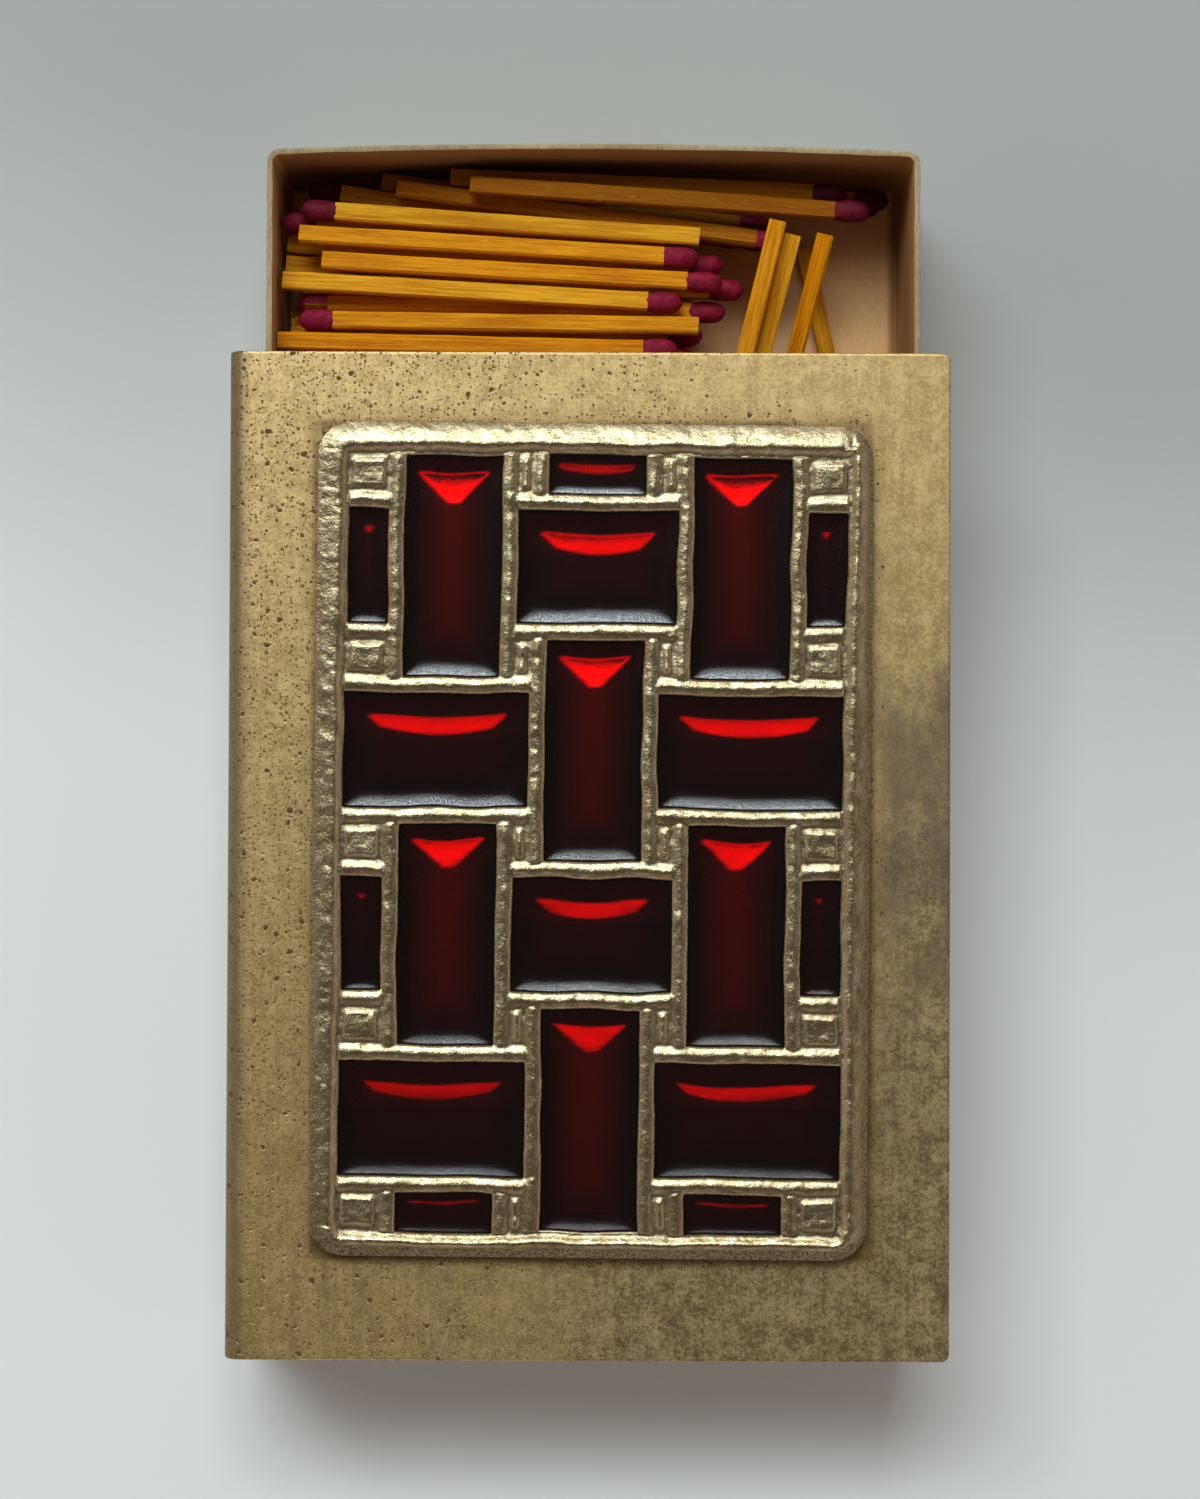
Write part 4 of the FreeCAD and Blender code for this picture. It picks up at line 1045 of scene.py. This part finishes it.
def board_look(name, colours, depth=FIBRE_DEPTH, wall_shade=None):
    """Paper board: fibres and faint stains, with a colour of painted shade that it may be darkened to on
    its walls.
    """
    look = Look(name, Specular_IOR_Level=0.25)
    fibre = look.noise(FIBRE_WIDTH, stretch=(1, 2.5, 1), detail=4.0)
    stain = look.noise(BOARD_STAIN_WIDTH, detail=4.0)
    colour = look.mix(look.ramp(look.total((fibre, 0.5), (stain, 0.6)), 0.35, 0.75), *colours)
    if wall_shade:
        # Painted shade on the lining's far wall and side walls.
        far = look.ramp(look.axis("Y"), *WALL_SHADE_FROM)
        beside = look.ramp(look.math("ABSOLUTE", look.axis("X")), *WALL_SHADE_BESIDE, 0.0, 0.9)
        colour = look.mix(look.math("MAXIMUM", far, beside), colour, wall_shade)
    look.set("Base Color", colour)
    look.set("Roughness", look.ramp(fibre, 0.2, 0.8, 0.72, 0.92))
    look.bump((fibre, stain), (depth, BOARD_STAIN_DEPTH))
    return look.material


def striker_look():
    """Striking paste: dark, gritty and dotted."""
    look = Look("striking_paste", Specular_IOR_Level=0.3)
    grit = look.noise(GRIT_WIDTH, detail=5.0, rough=0.75)
    dot = look.ramp(look.cells(DOT_SPACING)[0], 0.25, 0.45, 1.0, 0.0)
    worn = look.ramp(look.noise(PASTE_WEAR_WIDTH, detail=4.0), 0.5, 0.8)
    look.set("Base Color", look.mix(worn, look.mix(dot, *PASTE_COLOURS), PASTE_WORN))
    look.set("Roughness", look.ramp(grit, 0.2, 0.8, 0.7, 0.95))
    look.bump((grit, dot), PASTE_DEPTHS)
    return look.material


# Match wood and heads: their textures lie along each match

GRAIN_WIDTH, FLECK_WIDTH, BAND_WIDTH = 0.24, 0.12, 1.3
WOOD_DEPTHS = (0.06, 0.03, 0.08)
WOOD_LIGHTS = (0.92, 0.44, 0.022), (0.80, 0.285, 0.003)
WOOD_DARKS = (0.58, 0.21, 0.004), (0.48, 0.13, 0.001)
WOOD_SHADE_COLOUR = (0.16, 0.043, 0.0005)
WOOD_FLECK = (0.84, 0.54, 0.13)
PIMPLE_WIDTH, HEAD_LUMP_WIDTH = 0.18, 0.8
HEAD_DEPTHS = (0.04, 0.08)
HEAD_COLOURS = (0.16, 0.003, 0.017), (0.29, 0.008, 0.037)
HEAD_PIMPLE = (0.30, 0.035, 0.057)
HEAD_SHADE_COLOUR = (0.03, 0.001, 0.003)


def wood_look():
    """Split softwood, amber, with the grain along each stick."""
    look = Look("match_wood", Specular_IOR_Level=0.06)
    place, tone = look.stored("grain", "Vector"), look.stored("tone")
    grain = look.noise(GRAIN_WIDTH, stretch=(26, 1, 1), detail=4.0, rough=0.6, place=place)
    fleck = look.noise(FLECK_WIDTH, stretch=(10, 1, 1), detail=2.0, place=place)
    band = look.noise(BAND_WIDTH, stretch=(9, 1, 1), place=place)
    share = look.ramp(look.total((grain, 0.75), (band, 0.45), (fleck, 0.15)), 0.48, 0.86)
    colour = look.mix(share, look.mix(tone, *WOOD_DARKS), look.mix(tone, *WOOD_LIGHTS))
    # Painted shade on the sticks near the tray's far wall.
    colour = look.mix(look.math("MULTIPLY", look.stored("far_shade"), 0.8), colour, WOOD_SHADE_COLOUR)
    look.set("Base Color", look.mix(look.ramp(fleck, 0.66, 0.78, 0.0, 0.5), colour, WOOD_FLECK))
    look.set("Roughness", look.ramp(grain, 0.2, 0.8, 0.42, 0.66))
    look.bump((grain, fleck, band), WOOD_DEPTHS)
    return look.material


def head_look():
    """Dipped compound: dull burgundy, finely pimpled."""
    look = Look("match_head", Specular_IOR_Level=0.15)
    place = look.stored("grain", "Vector")
    fine = look.noise(PIMPLE_WIDTH, place=place)
    lump = look.noise(HEAD_LUMP_WIDTH, place=place)
    colour = look.mix(look.ramp(lump, 0.3, 0.75), *HEAD_COLOURS)
    colour = look.mix(look.ramp(fine, 0.62, 0.75, 0.0, 0.35), colour, HEAD_PIMPLE)
    # Painted shade on the heads near the tray's far wall.
    far_shade = look.math("MULTIPLY", look.stored("far_shade"), 0.85)
    look.set("Base Color", look.mix(far_shade, colour, HEAD_SHADE_COLOUR))
    look.set("Roughness", look.ramp(fine, 0.2, 0.8, 0.5, 0.75))
    look.bump((fine, lump), HEAD_DEPTHS)
    return look.material


# Pieces


def paint_nodes(look, *nodes):
    """Give CAD nodes that are carried over their look."""
    for node in nodes:
        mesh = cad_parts[node].data
        mesh.materials.clear()
        mesh.materials.append(look)


paint_nodes(gilt_sheet_look(), "holder_shell")
paint_nodes(board_look("sleeve_card", SLEEVE_COLOURS), "matchbox_sleeve")
paint_nodes(striker_look(), "open_side_striker", "spine_side_striker")
make_plaque(cast_metal_look(), cell_floor_look())
make_enamel(enamel_look())
make_tray(
    board_look("tray_outside", OUTSIDE_COLOURS),
    board_look("tray_rim", RIM_COLOURS, depth=RIM_FIBRE_DEPTH),
    board_look("tray_lining", LINING_COLOURS, wall_shade=WALL_SHADE_COLOUR),
)
make_matches(wood_look(), head_look())


# Stage: floor, lamp, sky and camera

FLOOR_HALF = 900.0
FLOOR_SHADE_SPAN = (5.0, 95.0)
FLOOR_LEAN = 70.0
FLOOR_LEAN_SHARE = 0.15
FLOOR_SLANT_SHARE = 0.25
FLOOR_DRIFT = 25.0
FLOOR_CLOUD_WIDTH = 70.0
FLOOR_FIBRE_WIDTH = 1.2
FLOOR_FIBRE_DEPTH = 0.02
FLOOR_SHADE_COLOUR = (0.42, 0.425, 0.41)
FLOOR_PALE = (0.80, 0.81, 0.81)


def make_floor():
    """Pale paper with painted shade, a little darker beyond the object and to its right."""
    look = Look("floor_paper", Roughness=0.85, Specular_IOR_Level=0.2)
    x, y = look.axis("X"), look.axis("Y")
    cloud = look.noise(FLOOR_CLOUD_WIDTH, detail=2.0)
    # Painted shade on the paper, deeper beyond the object and to its right, and in soft clouds.
    drift = look.total((cloud, FLOOR_DRIFT), (y, 1.0), (x, FLOOR_SLANT_SHARE))
    paper = look.mix(look.ramp(drift, *FLOOR_SHADE_SPAN), FLOOR_PALE, FLOOR_SHADE_COLOUR)
    lean = look.ramp(x, -FLOOR_LEAN, FLOOR_LEAN, 0.0, FLOOR_LEAN_SHARE)
    look.set("Base Color", look.mix(lean, paper, FLOOR_SHADE_COLOUR))
    look.bump([look.noise(FLOOR_FIBRE_WIDTH, detail=4.0)], [FLOOR_FIBRE_DEPTH])
    mesh = bpy.data.meshes.new("floor")
    half = FLOOR_HALF * MM
    corners = [(a * half, b * half, 0) for a, b in ((-1, -1), (1, -1), (1, 1), (-1, 1))]
    mesh.from_pydata(corners, [], [(0, 1, 2, 3)])
    mesh.materials.append(look.material)
    floor = placed("floor", mesh)
    floor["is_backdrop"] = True


# The lamp is a long window above and beyond the object. Its edges are tangents of angles from upright,
# seen from the plate edges that throw the shadow's ends.

LAMP_HEIGHT = 3000.0
LAMP_ACROSS = (-0.81, 0.25)
LAMP_ALONG = (0.36, 0.47, 0.59, 0.71, 0.83, 0.95)
LAMP_RADIANCES = (1.8, 5.2, 9.0, 12.4, 14.8)
LAMP_COLOUR = (0.88, 1.0, 1.04)
SKY_OVERHEAD = (0.115, 0.10, 0.09)
SKY_AROUND = (0.68, 0.61, 0.56)
SKY_SPAN = (0.40, 0.75)


def make_lamp():
    """The window in strips that lie side by side, brighter the farther they are."""
    plate_low, plate_high = (np.array(point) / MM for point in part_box("holder_shell"))
    above = LAMP_HEIGHT - plate_high[2]
    left, right = plate_high[0] + LAMP_ACROSS[0] * above, plate_low[0] + LAMP_ACROSS[1] * above
    edges = [plate_low[1] + tangent * above for tangent in LAMP_ALONG]
    for near, far, radiance in zip(edges, edges[1:], LAMP_RADIANCES):
        data = bpy.data.lights.new("window", "AREA")
        data.shape = "RECTANGLE"
        data.size, data.size_y = (right - left) * MM, (far - near) * MM
        data.energy = math.pi * radiance * data.size * data.size_y
        data.color = LAMP_COLOUR
        lamp = placed("window", data)
        lamp.location = Vector(((left + right) / 2, (near + far) / 2, LAMP_HEIGHT)) * MM


def make_sky():
    """A dim room, darker overhead where the photographer stands."""
    world = bpy.data.worlds.new("room")
    bpy.context.scene.world = world
    sky = Nodes(world)
    place = sky.add("ShaderNodeTexCoord").outputs["Generated"]
    height = sky.add("ShaderNodeSeparateXYZ", {"Vector": place}).outputs["Z"]
    span = {"Value": height, "From Min": SKY_SPAN[0], "From Max": SKY_SPAN[1]}
    overhead = sky.add("ShaderNodeMapRange", span).outputs["Result"]
    colour = sky.mix(overhead, SKY_AROUND, SKY_OVERHEAD)
    sky.feed(sky.tree.nodes["Background"].inputs["Color"], colour)


CAMERA_TARGET = (1.22, 11.2, 22.8)
CAMERA_DISTANCE = 312.0
CAMERA_TILT = 1.0
CAMERA_ROLL = 0.23
CAMERA_FIELD = 28.6


def make_camera():
    """A camera almost straight above, tilted and rolled a little."""
    data = bpy.data.cameras.new("camera")
    data.sensor_fit = "VERTICAL"
    data.angle_y = math.radians(CAMERA_FIELD)
    camera = placed("camera", data)
    tilt = Matrix.Rotation(math.radians(CAMERA_TILT), 4, "X")
    turn = tilt @ Matrix.Rotation(math.radians(CAMERA_ROLL), 4, "Z")
    spot = Vector(CAMERA_TARGET) + tilt @ Vector((0, 0, CAMERA_DISTANCE))
    camera.matrix_world = Matrix.Translation(spot * MM) @ turn
    bpy.context.scene.camera = camera


make_floor()
make_lamp()
make_sky()
make_camera()
bpy.context.scene.view_settings.view_transform = "Standard"

boxes = {"cad": CAD_BOX, "visual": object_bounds()}
{name: [list(corner) for corner in box] for name, box in boxes.items()}
